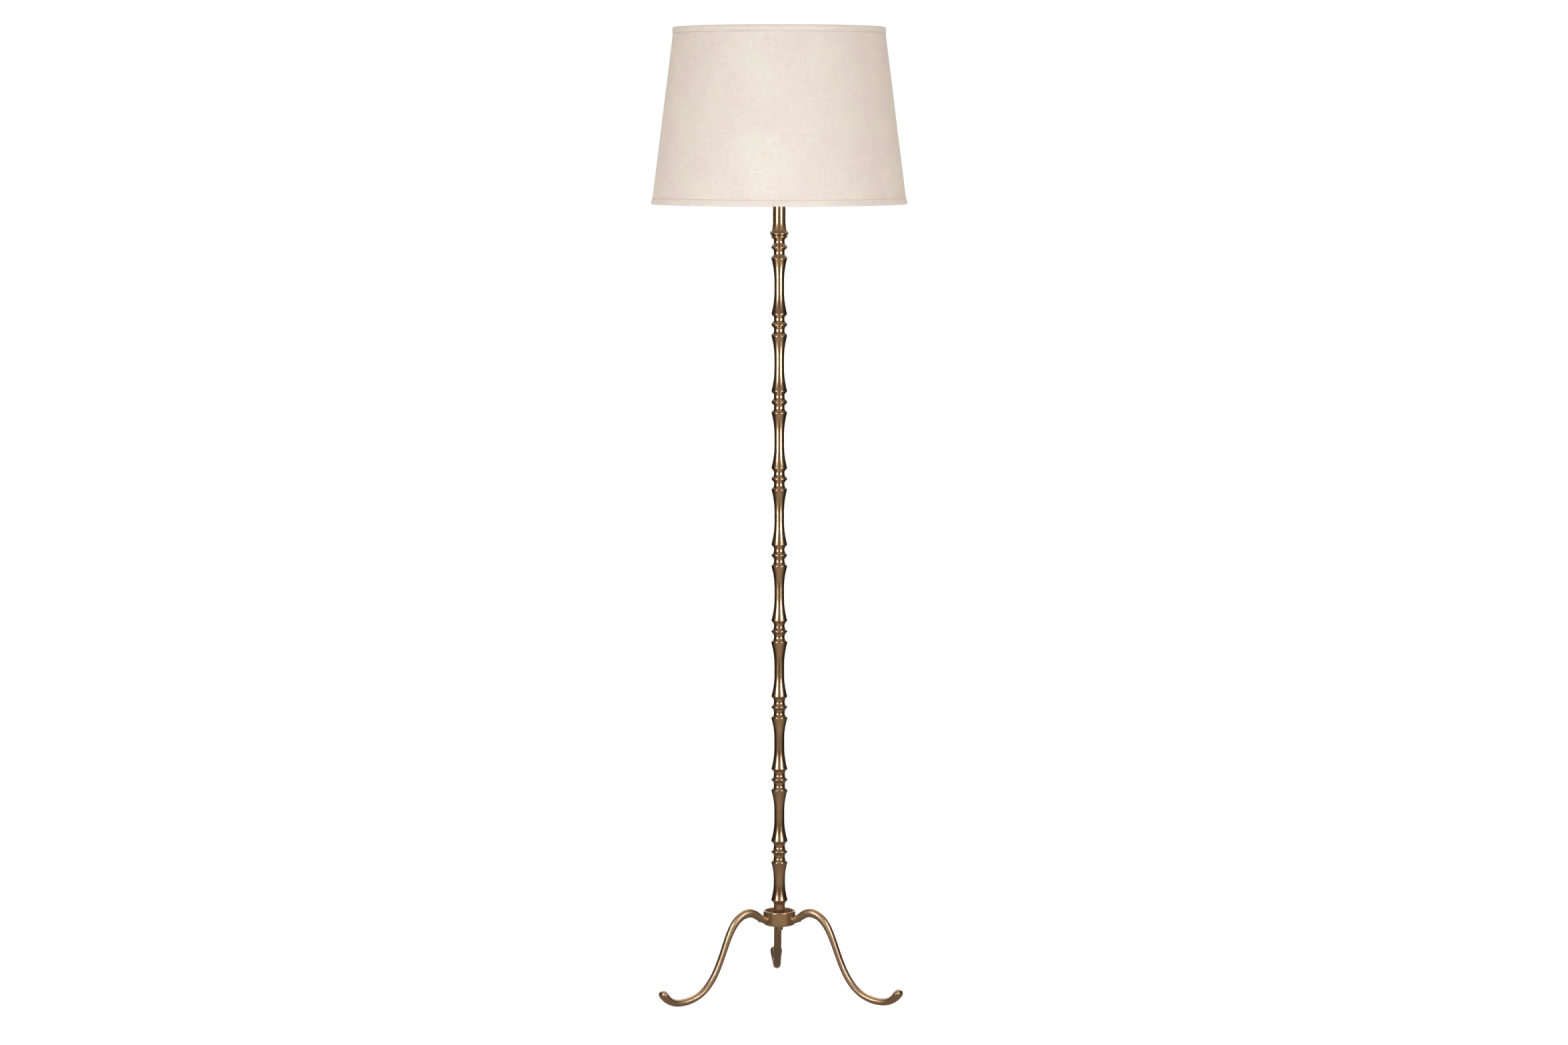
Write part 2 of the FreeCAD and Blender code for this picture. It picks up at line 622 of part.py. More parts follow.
def leg_stations():
    """List the leg's centre line as (point, direction, width, depth) in its own X-Z plane."""
    at = FreeCAD.Vector
    sole_height = size("leg_sole_depth / 2 - sole_grind")
    slope = math.radians(size("leg_toe_slope"))
    uphill = at(math.cos(slope), 0, math.sin(slope))
    root = at(0, 0, size("leg_root_height"))
    crest = at(size("leg_crest_reach"), 0, size("leg_crest_height"))
    sole = at(size("leg_sole_reach"), 0, sole_height)
    toe = sole + at(size("leg_toe_length"), 0, size("leg_toe_rise"))
    start = at(size("hub_radius - hub_wall"), 0, root.z)
    rise = [start, start + at(size("leg_root_pull"), 0, 0),
            crest - at(size("leg_root_pull"), 0, 0), crest]
    shin = [crest, crest + at(size("leg_crest_pull"), 0, 0),
            sole - at(size("leg_sole_pull"), 0, 0), sole]
    foot = [sole, sole + at(size("leg_toe_pull"), 0, 0),
            toe - uphill * size("leg_toe_pull / 2"), toe]
    width = size("leg_width")
    stations = []
    for share in (0, 0.25, 0.5, 0.75):
        depth = ease(size("leg_root_depth"), size("leg_crest_depth"), share)
        stations.append((*bezier(rise, share), width, depth))
    for step in range(SHIN_STEPS):
        share = step / SHIN_STEPS
        if share < 0.5:
            depth = ease(size("leg_crest_depth"), size("leg_shin_depth"), 2 * share)
        else:
            depth = ease(size("leg_shin_depth"), size("leg_sole_depth"), 2 * share - 1)
        stations.append((*bezier(shin, share), width, depth))
    for share in (0, 0.25, 0.5, 0.75, 1):
        depth = ease(size("leg_sole_depth"), size("leg_toe_depth"), share)
        stations.append((*bezier(foot, share), ease(width, size("leg_toe_width"), share), depth))
    # the rounded end of the toe is half an ellipsoid
    for share in CAP_SHARES:
        round_off = math.sqrt(1 - share * share)
        point = toe + uphill * (size("leg_toe_cap") * share)
        stations.append((point, uphill, size("leg_toe_width") * round_off,
                         size("leg_toe_depth") * round_off))
    return stations


def ring_at(point, way, width, depth):
    """Return an oval wire across the leg's centre line."""
    normal = FreeCAD.Vector(-way.z, 0, way.x)
    frame = FreeCAD.Matrix(
        normal.x * depth / 2, 0, way.x, point.x,
        0, width / 2, 0, point.y,
        normal.z * depth / 2, 0, way.z, point.z,
        0, 0, 0, 1)
    return Part.Wire([Part.makeCircle(1.0).transformGeometry(frame).Edges[0]])


def legs():
    """Three legs, each seated against the hub, ground flat under the foot and tapped."""
    solid = Part.makeLoft([ring_at(*station) for station in leg_stations()], True, False)
    far = size("leg_sole_reach") * 2
    ground = Part.makeBox(far, far, far, FreeCAD.Vector(0, -far / 2, -far))
    seat = Part.makeCylinder(size("hub_radius + rest_gap"), far, FreeCAD.Vector(0, 0, 0))
    hole = Part.makeCylinder(
        size("screw_bore_radius"), size("hub_wall + screw_grip + cut_margin"),
        FreeCAD.Vector(size("hub_inner_radius"), 0, size("leg_root_height")),
        FreeCAD.Vector(1, 0, 0))
    solid = solid.cut(ground).cut(seat).cut(hole)
    for side, degrees in LEG_ANGLES.items():
        piece = doc.addObject("Part::Feature", "leg_" + side)
        piece.Shape = solid
        piece.Placement = FreeCAD.Placement(
            FreeCAD.Vector(0, 0, 0), FreeCAD.Rotation(FreeCAD.Vector(0, 0, 1), degrees))
        keep("leg_" + side, piece)


# ---------------------------------------------------------------- bent wire

def rounded_path(corners, bends):
    """Join straight runs with tangent arcs; bends gives a radius for each inner corner."""
    edges = []
    start = corners[0]
    for before, corner, after, bend in zip(corners, corners[1:], corners[2:], bends):
        back = (before - corner).normalize()
        on = (after - corner).normalize()
        half = back.getAngle(on) / 2
        reach = bend / math.tan(half)
        inwards = (back + on).normalize()
        middle = corner + inwards * (bend / math.sin(half) - bend)
        edges.append(Part.LineSegment(start, corner + back * reach).toShape())
        edges.append(Part.Arc(corner + back * reach, middle, corner + on * reach).toShape())
        start = corner + on * reach
    edges.append(Part.LineSegment(start, corners[-1]).toShape())
    return Part.Wire(edges)


def wire_along(path, radius):
    """Sweep a round wire along a path."""
    first = path.Edges[0]
    start = first.Vertexes[0].Point
    way = first.tangentAt(first.FirstParameter)
    profile = Part.Wire([Part.makeCircle(radius, start, way)])
    return path.makePipeShell([profile], True, False)


def harp():
    """The wire loop over the bulb, with the seat and stud that carry the shade."""
    at = FreeCAD.Vector
    low = size("saddle_top + saddle_post_height + rest_gap")
    base = size("saddle_top")
    top = size("seat_top - harp_seat_height / 2")
    side = [
        at(size("harp_foot_reach"), 0, low),
        at(size("harp_foot_reach"), 0, base + size("harp_foot_height")),
        at(size("harp_reach"), 0, base + size("harp_low_height")),
        at(size("harp_reach"), 0, base + size("harp_shoulder_height")),
        at(size("harp_top_reach"), 0, top),
    ]
    other = [at(-corner.x, 0, corner.z) for corner in reversed(side)]
    bends = [size("harp_side_bend")] * 3 + [size("harp_top_bend")]
    path = rounded_path(side + other, bends + bends[::-1])
    loop = wire_along(path, size("harp_wire_radius"))
    seat = Part.makeCylinder(
        size("harp_seat_radius"), size("harp_seat_height"),
        at(0, 0, size("seat_top - harp_seat_height")))
    stud = Part.makeCylinder(size("stud_radius"), size("stud_height"), at(0, 0, size("seat_top")))
    piece = doc.addObject("Part::Feature", "harp")
    piece.Shape = loop.fuse(seat).fuse(stud).removeSplitter()
    keep("harp", piece)


def saddle():
    """The bar clamped under the socket, with a post at each end for the harp's feet."""
    plate = post("saddle_plate", "0", "saddle_start", "saddle_plate_radius", "saddle_height")
    bar = doc.addObject("Part::Box", "saddle_bar")
    bar.setExpression("Length", in_sheet("2 * harp_foot_reach + saddle_width"))
    bar.setExpression("Width", in_sheet("saddle_width"))
    bar.setExpression("Height", in_sheet("saddle_height"))
    bar.setExpression("Placement.Base.x", in_sheet("0 - harp_foot_reach - saddle_width / 2"))
    bar.setExpression("Placement.Base.y", in_sheet("0 - saddle_width / 2"))
    bar.setExpression("Placement.Base.z", in_sheet("saddle_start"))
    posts = []
    for name, across in (("left", "0 - harp_foot_reach"), ("right", "harp_foot_reach")):
        posts.append(post("saddle_post_" + name, across, "saddle_start", "harp_wire_radius",
                          "saddle_height + saddle_post_height"))
    whole = doc.addObject("Part::MultiFuse", "saddle_whole")
    whole.Shapes = [plate, bar] + posts
    hole = post("saddle_hole", "0", "saddle_start - cut_margin", "pipe_hole_radius",
                "saddle_height + 2 * cut_margin")
    cut("harp_saddle", whole, [hole])
    for name, across in (("left", "0 - harp_foot_reach"), ("right", "harp_foot_reach")):
        tube("harp_sleeve_" + name, "sleeve_bore_radius", "sleeve_radius", "sleeve_height",
             "saddle_top + rest_gap", across)


# ---------------------------------------------------------------- socket and bulb

def socket():
    """Cap, shell, insulator, core and the turn knob of the switch."""
    cap = [
        ("cap_bore_radius", "0"),
        ("cap_neck_radius", "0"),
        ("cap_neck_radius", "cap_neck_height"),
        ("cap_radius", "cap_shoulder_height"),
        ("cap_radius", "cap_height"),
        ("cap_inner_radius", "cap_height"),
        ("cap_inner_radius", "cap_shoulder_height + shell_wall / 2"),
        ("cap_neck_radius - shell_wall", "cap_neck_height + shell_wall"),
        ("cap_bore_radius", "cap_neck_height + shell_wall"),
    ]
    turned("socket_cap", cap, "socket_start")
    shell = [
        ("shell_inner_radius", "0"),
        ("shell_radius", "0"),
        ("shell_radius", "shell_height - 2 * shell_bead"),
        ("shell_radius + shell_bead", "shell_height - shell_bead", "shell_bead", -1),
        ("shell_radius", "shell_height", "shell_bead", -1),
        ("shell_inner_radius", "shell_height"),
    ]
    core = [
        ("0", "0"),
        ("core_radius", "0"),
        ("core_radius", "core_top"),
        ("core_bore_radius", "core_top"),
        ("core_bore_radius", "core_height"),
        ("0", "core_height"),
    ]
    sleeve = wall_outline("insulator_bore_radius", "insulator_radius", "insulator_height")
    blanks = {
        "socket_shell": revolved("shell_blank", shell, "shell_start"),
        "socket_insulator": revolved("insulator_blank", sleeve, "core_start"),
    }
    for label, blank in blanks.items():
        hole = rod(label + "_hole", -90, "0", "knob_axis_height", "knob_hole_radius", "knob_reach")
        cut(label, blank, [hole])
    blank = revolved("core_blank", core, "core_start")
    hole = rod("core_hole", -90, "knob_shaft_start - turning_gap", "knob_axis_height",
               "knob_shaft_radius + turning_gap", "knob_reach")
    cut("socket_core", blank, [hole])
    shaft = rod("switch_shaft", -90, "knob_shaft_start", "knob_axis_height",
                "knob_shaft_radius", "knob_shaft_length")
    keep("switch_shaft", shaft)
    knob = [
        ("knob_bore_radius", "0"),
        ("knob_radius", "0"),
        ("knob_radius", "knob_length - knob_rounding"),
        ("knob_radius - knob_rounding", "knob_length", "knob_rounding", -1),
        ("0", "knob_length"),
        ("0", "knob_length - knob_cover"),
        ("knob_bore_radius", "knob_length - knob_cover"),
    ]
    piece = turned("switch_knob", knob, "knob_axis_height")
    lay_out(piece, -90, "knob_start", "knob_axis_height")


def bulb():
    """A round bulb: a solid screw base and a thin glass envelope."""
    base = [
        ("0", "0"),
        ("bulb_contact_radius", "0"),
        ("bulb_base_radius", "bulb_contact_height"),
        ("bulb_base_radius", "bulb_base_height"),
        ("0", "bulb_base_height"),
    ]
    turned("bulb_base", base, "bulb_start")
    glass = [
        ("bulb_neck_radius - bulb_wall", "0"),
        ("bulb_neck_radius", "0"),
        ("bulb_neck_radius", "bulb_neck_height"),
        ("bulb_join_out", "bulb_centre_height - bulb_join_down"),
        ("bulb_crown_radius", "bulb_crown_height", "bulb_radius", -1),
        ("0", "bulb_crown_height"),
        ("0", "bulb_crown_inside"),
        ("bulb_crown_radius", "bulb_crown_inside"),
        ("bulb_inner_out", "bulb_centre_height - bulb_inner_down", "bulb_inner_radius", 1),
        ("bulb_neck_radius - bulb_wall", "bulb_neck_height"),
    ]
    turned("bulb_glass", glass, "glass_start")


# ---------------------------------------------------------------- shade

def layer(label, outside, wall):
    """One tapered layer of the shade, its outside set in from the fabric's outside."""
    outline = [
        (f"cloth_low_radius - {outside} - {wall}", "0"),
        (f"cloth_low_radius - {outside}", "0"),
        (f"cloth_high_radius - {outside}", "cloth_height"),
        (f"cloth_high_radius - {outside} - {wall}", "cloth_height"),
    ]
    turned(label, outline, "shade_bottom + cloth_start")


def trim(edge, up):
    """The tape folded over one edge of the shade; up is + above the edge and - below it."""
    flip = "-" if up == "+" else "+"

    def corner(up_from_edge, out):
        return (f"{edge}_radius {flip} shade_slope * ( {up_from_edge} ) {out}",
                f"{up} ( {up_from_edge} )" if up == "-" else up_from_edge)

    inside = "- shade_inside - glue_gap"
    return [
        corner("0", f"{inside} - trim_wall"),
        corner("0", "+ trim_edge - trim_wall"),
        corner("trim_wall", "+ trim_edge"),
        corner("trim_roll", "+ trim_edge"),
        corner("trim_height", "+ trim_wall"),
        corner("trim_height", "+ glue_gap"),
        corner("trim_wall", "+ glue_gap"),
        corner("trim_wall", inside),
        corner("trim_height", inside),
        corner("trim_height", f"{inside} - trim_wall"),
    ]


def shade():
    """Fabric on a stiff liner, with tape and a wire ring at both edges."""
    layer("shade_fabric", "0", "fabric_wall")
    layer("shade_liner", "fabric_wall - glue_gap", "liner_wall")
    turned("shade_trim_bottom", trim("shade_bottom", "+"), "shade_bottom")
    turned("shade_trim_top", trim("shade_top", "-"), "shade_top")
    for label, reach, height in (
            ("shade_ring_bottom", "low_ring_radius", "shade_bottom + ring_setback"),
            ("shade_ring_top", "high_ring_radius", "shade_top - ring_setback")):
        ring = doc.addObject("Part::Torus", label)
        ring.setExpression("Radius1", in_sheet(reach))
        ring.setExpression("Radius2", in_sheet("ring_wire_radius"))
        ring.setExpression("Placement.Base.z", in_sheet(height))
        keep(label, ring)


def fitter():
    """The washer that sits on the harp and three arms that rise to the upper ring."""
    at = FreeCAD.Vector
    reach = size("high_ring_radius")
    high = size("shade_top - ring_setback")
    level = size("fitter_start + fitter_height / 2")
    whole = Part.makeCylinder(
        size("fitter_radius"), size("fitter_height"), at(0, 0, size("fitter_start")))
    bore = Part.makeCylinder(
        size("fitter_bore_radius"), size("fitter_height + 2 * cut_margin"),
        at(0, 0, size("fitter_start - cut_margin")))
    whole = whole.cut(bore)
    path = rounded_path([
        at(size("fitter_radius - arm_root"), 0, level),
        at(reach - size("arm_rise_reach"), 0, level),
        at(reach, 0, high),
    ], [size("arm_bend")])
    arm = wire_along(path, size("arm_radius"))
    for degrees in LEG_ANGLES.values():
        whole = whole.fuse(arm.rotated(at(0, 0, 0), at(0, 0, 1), degrees))
    ring = Part.makeTorus(reach, size("ring_wire_radius + rest_gap"), at(0, 0, high))
    piece = doc.addObject("Part::Feature", "shade_fitter")
    piece.Shape = whole.cut(ring).Solids[0]
    keep("shade_fitter", piece)


def finial():
    """The ball nut that holds the shade on the harp's stud."""
    outline = [
        ("finial_bore_radius", "0"),
        ("finial_base_radius", "0"),
        ("finial_base_radius", "finial_base_height"),
        ("finial_neck_radius", "finial_neck_top - finial_neck_height"),
        ("finial_neck_radius", "finial_neck_top"),
        ("0", "finial_top", "finial_ball_radius", -1),
        ("0", "finial_bore_depth"),
        ("finial_bore_radius", "finial_bore_depth"),
    ]
    turned("finial", outline, "finial_start")


# ---------------------------------------------------------------- build, check and write

hub()
legs()
stem()
saddle()
harp()
socket()
bulb()
shade()
fitter()
finial()
doc.recompute()

failed = [thing.Label for thing in doc.Objects
          if "Invalid" in thing.State or "Error" in thing.State]
if failed:
    raise RuntimeError("failed: " + ", ".join(failed))
for label, piece in pieces.items():
    shape = piece.Shape
    if shape.isNull() or not shape.isValid() or not shape.Solids:
        raise RuntimeError(f"{label} has no sound solid")

os.makedirs("parts", exist_ok=True)
for label, piece in pieces.items():
    piece.Shape.exportStep(f"parts/{label}.step")
print(len(pieces), "pieces written")
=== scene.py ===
# %% [markdown]
# # A tripod floor lamp in antique brass, with a linen shade
# This lesson dresses a finished mechanical model. The stem, legs, socket and harp are already
# built as exact solids, so here they only get their finishes. The soft parts, which are the
# linen and its two edge tapes, are made again as thin sheets, because cloth has folds, laps and
# rolled edges that a turned solid does not have.
#
# We work in metres, with Z up, the floor at zero and the stem standing on the Z axis.

# %% Load the model
import json
import math
import bpy
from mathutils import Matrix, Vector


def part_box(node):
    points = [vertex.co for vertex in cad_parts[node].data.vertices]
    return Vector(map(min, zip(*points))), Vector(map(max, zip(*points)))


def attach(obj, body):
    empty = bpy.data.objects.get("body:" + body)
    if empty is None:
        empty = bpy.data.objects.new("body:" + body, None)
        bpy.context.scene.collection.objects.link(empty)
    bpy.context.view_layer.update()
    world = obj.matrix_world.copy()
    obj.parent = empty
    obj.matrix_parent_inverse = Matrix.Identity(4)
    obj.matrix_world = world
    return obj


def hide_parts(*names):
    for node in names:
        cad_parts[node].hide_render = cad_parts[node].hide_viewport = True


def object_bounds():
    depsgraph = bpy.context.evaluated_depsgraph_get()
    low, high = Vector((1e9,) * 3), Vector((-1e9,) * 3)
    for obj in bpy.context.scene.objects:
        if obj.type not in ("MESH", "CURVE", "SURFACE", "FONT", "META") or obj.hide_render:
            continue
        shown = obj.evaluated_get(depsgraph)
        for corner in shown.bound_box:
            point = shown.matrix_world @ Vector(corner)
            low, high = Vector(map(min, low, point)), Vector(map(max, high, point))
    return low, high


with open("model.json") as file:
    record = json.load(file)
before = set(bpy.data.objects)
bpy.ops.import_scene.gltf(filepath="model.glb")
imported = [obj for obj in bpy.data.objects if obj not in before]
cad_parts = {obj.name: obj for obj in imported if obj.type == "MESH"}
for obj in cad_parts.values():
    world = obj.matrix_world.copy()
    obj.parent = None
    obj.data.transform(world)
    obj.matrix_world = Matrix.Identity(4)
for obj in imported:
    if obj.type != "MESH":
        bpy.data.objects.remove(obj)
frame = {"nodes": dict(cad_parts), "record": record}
nodes = frame["nodes"]
cad_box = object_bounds()
lamp_height = cad_box[1][2] - cad_box[0][2]
print(f"{len(nodes)} solids, {lamp_height:.3f} m tall")

# %% [markdown]
# ## The camera
# A tall thin object is best looked at from far away through a long lens, so that the stem stays
# straight and the shade does not balloon. The camera stands level with the shade and looks
# slightly down. It could be placed by three coordinates, but distance, height and turn around the
# stem are easier to change one at a time, and can be paced out in a real studio.

# %% Place the camera
LENS_MM = 85.0
CAMERA_DISTANCE = 6.282
CAMERA_HEIGHT = 1.486
CAMERA_TURN = math.radians(-1.4)      # round the stem, seen from above
CAMERA_DOWN = math.radians(6.075)     # how far it looks below the horizon
CAMERA_ASIDE = math.radians(-0.0733)  # and past the stem, which stands just off the middle

lens = bpy.data.cameras.new("studio_camera")
lens.lens = LENS_MM
camera = bpy.data.objects.new("studio_camera", lens)
camera.location = (CAMERA_DISTANCE * math.sin(CAMERA_TURN),
                   -CAMERA_DISTANCE * math.cos(CAMERA_TURN), CAMERA_HEIGHT)
camera.rotation_euler = (math.pi / 2 - CAMERA_DOWN, 0, CAMERA_TURN + CAMERA_ASIDE)
bpy.context.scene.collection.objects.link(camera)
bpy.context.scene.camera = camera
print("camera", [round(value, 3) for value in camera.location])

# %% [markdown]
# ## Building with nodes
# Every finish below is a small graph of nodes. The graphs could be drawn by hand in the shader
# editor, but in code they can share their parts. Two helpers do most of the work: start_finish
# begins a material, and add makes a node, sets its numbers and plugs in whatever is already a
# socket.

# %% Start a finish and add a node to it
def start_finish(name):
    """A new material, its node tree and its main shader."""
    finish = bpy.data.materials.new(name)
    finish.use_nodes = True
    return finish, finish.node_tree, finish.node_tree.nodes["Principled BSDF"]


def add(tree, kind, inputs=(), **settings):
    """One node: settings are its own options, inputs are numbers or sockets to join."""
    node = tree.nodes.new("ShaderNode" + kind)
    for setting, value in settings.items():
        setattr(node, setting, value)
    for socket, value in dict(inputs).items():
        if isinstance(value, bpy.types.NodeSocket):
            tree.links.new(value, node.inputs[socket])
        else:
            node.inputs[socket].default_value = value
    return node


print("a finish can be started")

# %% [markdown]
# ## The steps that every finish repeats
# A finish starts from a place on the piece, in metres, so that its grain has a real size. Noise
# turns the place into a cloudy value, a ramp picks out a part of that value, and the value then
# blends two colours, sets the roughness or lifts the surface. Each step is one helper.

# %% Places, noise, ramps, blends and relief
def place_on(tree, turn=0.0):
    """The point on the piece in metres, turned about the stem."""
    here = add(tree, "TexCoord").outputs["Object"]
    if turn:
        here = add(tree, "VectorRotate", {"Vector": here, "Angle": -turn},
                   rotation_type="Z_AXIS").outputs[0]
    return here


def noise(tree, where, per_metre, detail=3.0, roughness=0.5):
    """Cloudy noise from 0 to 1, with its own scale along each axis."""
    spread = add(tree, "VectorMath", {0: where, 1: per_metre}, operation="MULTIPLY")
    return add(tree, "TexNoise", {"Vector": spread.outputs[0], "Scale": 1.0,
                                  "Detail": detail, "Roughness": roughness}).outputs["Fac"]


def ramp(tree, value, low, high, start=0.0, end=1.0):
    """value between low and high becomes start to end, and stays there outside."""
    return add(tree, "MapRange", {"Value": value, "From Min": low, "From Max": high,
                                  "To Min": start, "To Max": end}).outputs["Result"]


def math_of(tree, operation, first, second):
    """Arithmetic on two values, each a number or a socket."""
    return add(tree, "Math", {0: first, 1: second}, operation=operation).outputs[0]


def blend_colours(tree, share, first, second):
    """First colour where share is 0 and second where it is 1."""
    mix = add(tree, "Mix", data_type="RGBA")
    for socket, value in (("Factor_Float", share), ("A_Color", first), ("B_Color", second)):
        target = next(item for item in mix.inputs if item.identifier == socket)
        if isinstance(value, bpy.types.NodeSocket):
            tree.links.new(value, target)
        else:
            target.default_value = value
    return next(item for item in mix.outputs if item.identifier == "Result_Color")


def relief(tree, shader, height, depth, under=None):
    """Makes the surface rise and fall by depth metres where height goes from 0 to 1."""
    bump = add(tree, "Bump", {"Height": height, "Distance": depth, "Strength": 1.0})
    if under is not None:
        tree.links.new(under, bump.inputs["Normal"])
    tree.links.new(bump.outputs[0], shader.inputs["Normal"])
    return bump.outputs[0]


print("node helpers ready")

# %% [markdown]
# ## Antique brass
# The stem, hub and legs are brass that was turned or drawn, stained brown in a bath, rubbed back
# and lacquered. The rubbing leaves the crests a little brighter, and the stain stays in the
# grooves. Four things make it: a golden and a brown colour, a mask that says where the stain
# stays, fine tool lines that run round the turned pieces and along the legs, and a roughness
# that follows the stain. The roughness stays even all round a piece, because a turned surface
# draws each light as one clean upright line.
#
# The mask could be painted by hand, but it would have to be painted again after every change of
# shape. Here it comes from how shut in a point is. Ambient occlusion looks around outside the
# surface for grooves, and inside it for crests that the polishing cloth reaches first.
#
# The lacquer is a clear coat over the metal. It mirrors without a colour of its own, so the
# brightest lines on the brass come out nearly white, as they do on the real thing.

# %% Brass colours and sizes
GOLDEN = (0.510, 0.292, 0.122, 1)
STAINED = (0.150, 0.066, 0.026, 1)
RAW = (0.62, 0.46, 0.36, 1)  # the paler brass inside the cup
RAW_EDGE = 0.0004            # one turns into the other over this distance
GROOVE_REACH = 0.005         # how far the mask looks out for the walls of a groove
CREST_REACH = 0.003          # and how far in for the other side of a crest
MASK_RAYS = 6
CLOUDS = (14, 14, 14)        # soft patches to a metre, along X, Y and Z
MOTTLE = (260, 260, 160)
CLOUD_SWING = 0.10           # how far the soft patches move the stain, each way
STREAK_SWING = 0.08          # the same for the tool lines
FLECK_STAIN = 0.15           # what a fleck adds to it
CREST_WEAR = 0.20            # and what rubbing takes off a crest
TOOL_DEPTH = 0.000006
RUBBED_ROUGH = 0.26
STAINED_ROUGH = 0.34
RAW_ROUGH = 0.20             # how much rougher it is inside the cup
LACQUER_ROUGH = 0.22
LACQUER_IOR = 1.9
print("stain reaches", GROOVE_REACH, "m, crests", CREST_REACH, "m")

# %% Brass
def brass(name, lines, turn=0.0, age=0.30, hollows=0.45, dull=0.0, raw_within=0.0):
    """Rubbed antique brass; lines is how many tool lines there are to a metre along X, Y, Z.

    age is how much stain is left, hollows how much more there is in the grooves, and dull is
    added to both roughnesses. A cup is paler and duller inside, where the bath and the cloth
    hardly reach: raw_within is how far from the axis its inside goes."""
    finish, tree, shader = start_finish(name)
    here = place_on(tree, turn)
    clouds = noise(tree, here, CLOUDS, detail=3)
    mottle = noise(tree, here, MOTTLE, detail=2)
    tool = noise(tree, here, lines, detail=2, roughness=0.65)
    groove = add(tree, "AmbientOcclusion", {"Distance": GROOVE_REACH},
                 samples=MASK_RAYS).outputs["AO"]
    crest = add(tree, "AmbientOcclusion", {"Distance": CREST_REACH}, samples=MASK_RAYS,
                inside=True).outputs["AO"]
    shut_in = ramp(tree, groove, 0.30, 0.90, hollows, 0.0)
    cloudy = ramp(tree, clouds, 0.3, 0.7, age - CLOUD_SWING, age + CLOUD_SWING)
    streaky = ramp(tree, tool, 0.3, 0.7, -STREAK_SWING, STREAK_SWING)
    flecks = ramp(tree, mottle, 0.62, 0.80, 0.0, FLECK_STAIN)
    worn = ramp(tree, crest, 0.35, 0.75, CREST_WEAR, 0.0)
    stain = math_of(tree, "ADD", cloudy, streaky)
    stain = math_of(tree, "ADD", stain, flecks)
    stain = math_of(tree, "ADD", stain, shut_in)
    stain = math_of(tree, "SUBTRACT", stain, worn)
    stain = ramp(tree, stain, 0.0, 1.0)
    colour = blend_colours(tree, stain, GOLDEN, STAINED)
    rough = ramp(tree, stain, 0.0, 1.0, RUBBED_ROUGH + dull, STAINED_ROUGH + dull)
    rough = math_of(tree, "ADD", rough, ramp(tree, tool, 0.3, 0.7, -0.02, 0.02))
    if raw_within:
        level = add(tree, "VectorMath", {0: here, 1: (1, 1, 0)}, operation="MULTIPLY").outputs[0]
        reach = add(tree, "VectorMath", {0: level}, operation="LENGTH").outputs["Value"]
        raw = ramp(tree, reach, raw_within, raw_within - RAW_EDGE)
        raw = math_of(tree, "MULTIPLY", raw, ramp(tree, stain, 0.0, 1.0, 1.0, 0.6))
        colour = blend_colours(tree, raw, colour, RAW)
        rough = math_of(tree, "ADD", rough, math_of(tree, "MULTIPLY", raw, RAW_ROUGH))
    tree.links.new(colour, shader.inputs["Base Color"])
    tree.links.new(rough, shader.inputs["Roughness"])
    shader.inputs["Metallic"].default_value = 1.0
    shader.inputs["Coat Weight"].default_value = 1.0
    shader.inputs["Coat Roughness"].default_value = LACQUER_ROUGH + dull
    shader.inputs["Coat IOR"].default_value = LACQUER_IOR
    relief(tree, shader, tool, TOOL_DEPTH)
    return finish


print("brass can be mixed")

# %% [markdown]
# ## Brass on the turned pieces, the hub and the legs
# One recipe serves them all, with its numbers changed. The lathe leaves its lines around the
# stem, so they are packed closely along Z. A leg is drawn through a die, so its lines run along
# it: the leg's direction is turned onto X first, and the lines are packed across that. The hub
# was handled least and is the most golden; the fittings under it were hardly rubbed at all; and
# the legs are dull from years of feet and floor cloths.

# %% Brass for each piece
AROUND = (6, 6, 2200)        # tool lines that run round a turned piece
ALONG = (6, 1800, 1800)      # and along a leg, whose reach is turned onto X
CUP_SKIN = 0.0005            # all of the cup but this outer skin counts as its inside
turned_brass = brass("antique_brass_turned", AROUND)
hub_brass = brass("antique_brass_hub", AROUND, age=0.08, hollows=0.0,
                  raw_within=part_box("hub_cup")[1].x - CUP_SKIN)
fitting_brass = brass("antique_brass_fittings", AROUND, age=0.55, hollows=0.2)
turned_pieces = [name for name in nodes if name.startswith("stem_") or name == "hub_collar"]
for name in turned_pieces:
    nodes[name].material_slots[0].material = turned_brass
for name in ("clamp_washer", "clamp_nut", "cord_bushing"):
    nodes[name].material_slots[0].material = fitting_brass
nodes["hub_cup"].material_slots[0].material = hub_brass
LEG_TURNS = {"leg_back": 90, "leg_left": 210, "leg_right": 330}  # degrees round from X
for name, degrees in LEG_TURNS.items():
    leg_brass = brass("antique_brass_" + name, ALONG, turn=math.radians(degrees), age=0.40,
                      hollows=0.0, dull=0.13)
    nodes[name].material_slots[0].material = leg_brass
print(len(turned_pieces), "turned pieces and", len(LEG_TURNS), "legs in antique brass")

# %% [markdown]
# ## The bright metals
# Inside the shade the harp, the saddle and the socket are brass too, but pressed and lacquered,
# so they are more even and more yellow. The leg screws and the pipe are zinc plated steel with a
# faint bluish grain, and the bulb has a pressed aluminium base. They could all be plain colours
# with a low roughness, but a metal without any grain looks like plastic, so each gets fine lines
# from its drawing or pressing, a few soft clouds and very small pits.

# %% Plain metals
METAL_DARKER = 0.72          # the clouded parts of a plain metal, as a share of its colour
PIT_DEPTH = 0.00001
GRAIN_DEPTH = 0.000008


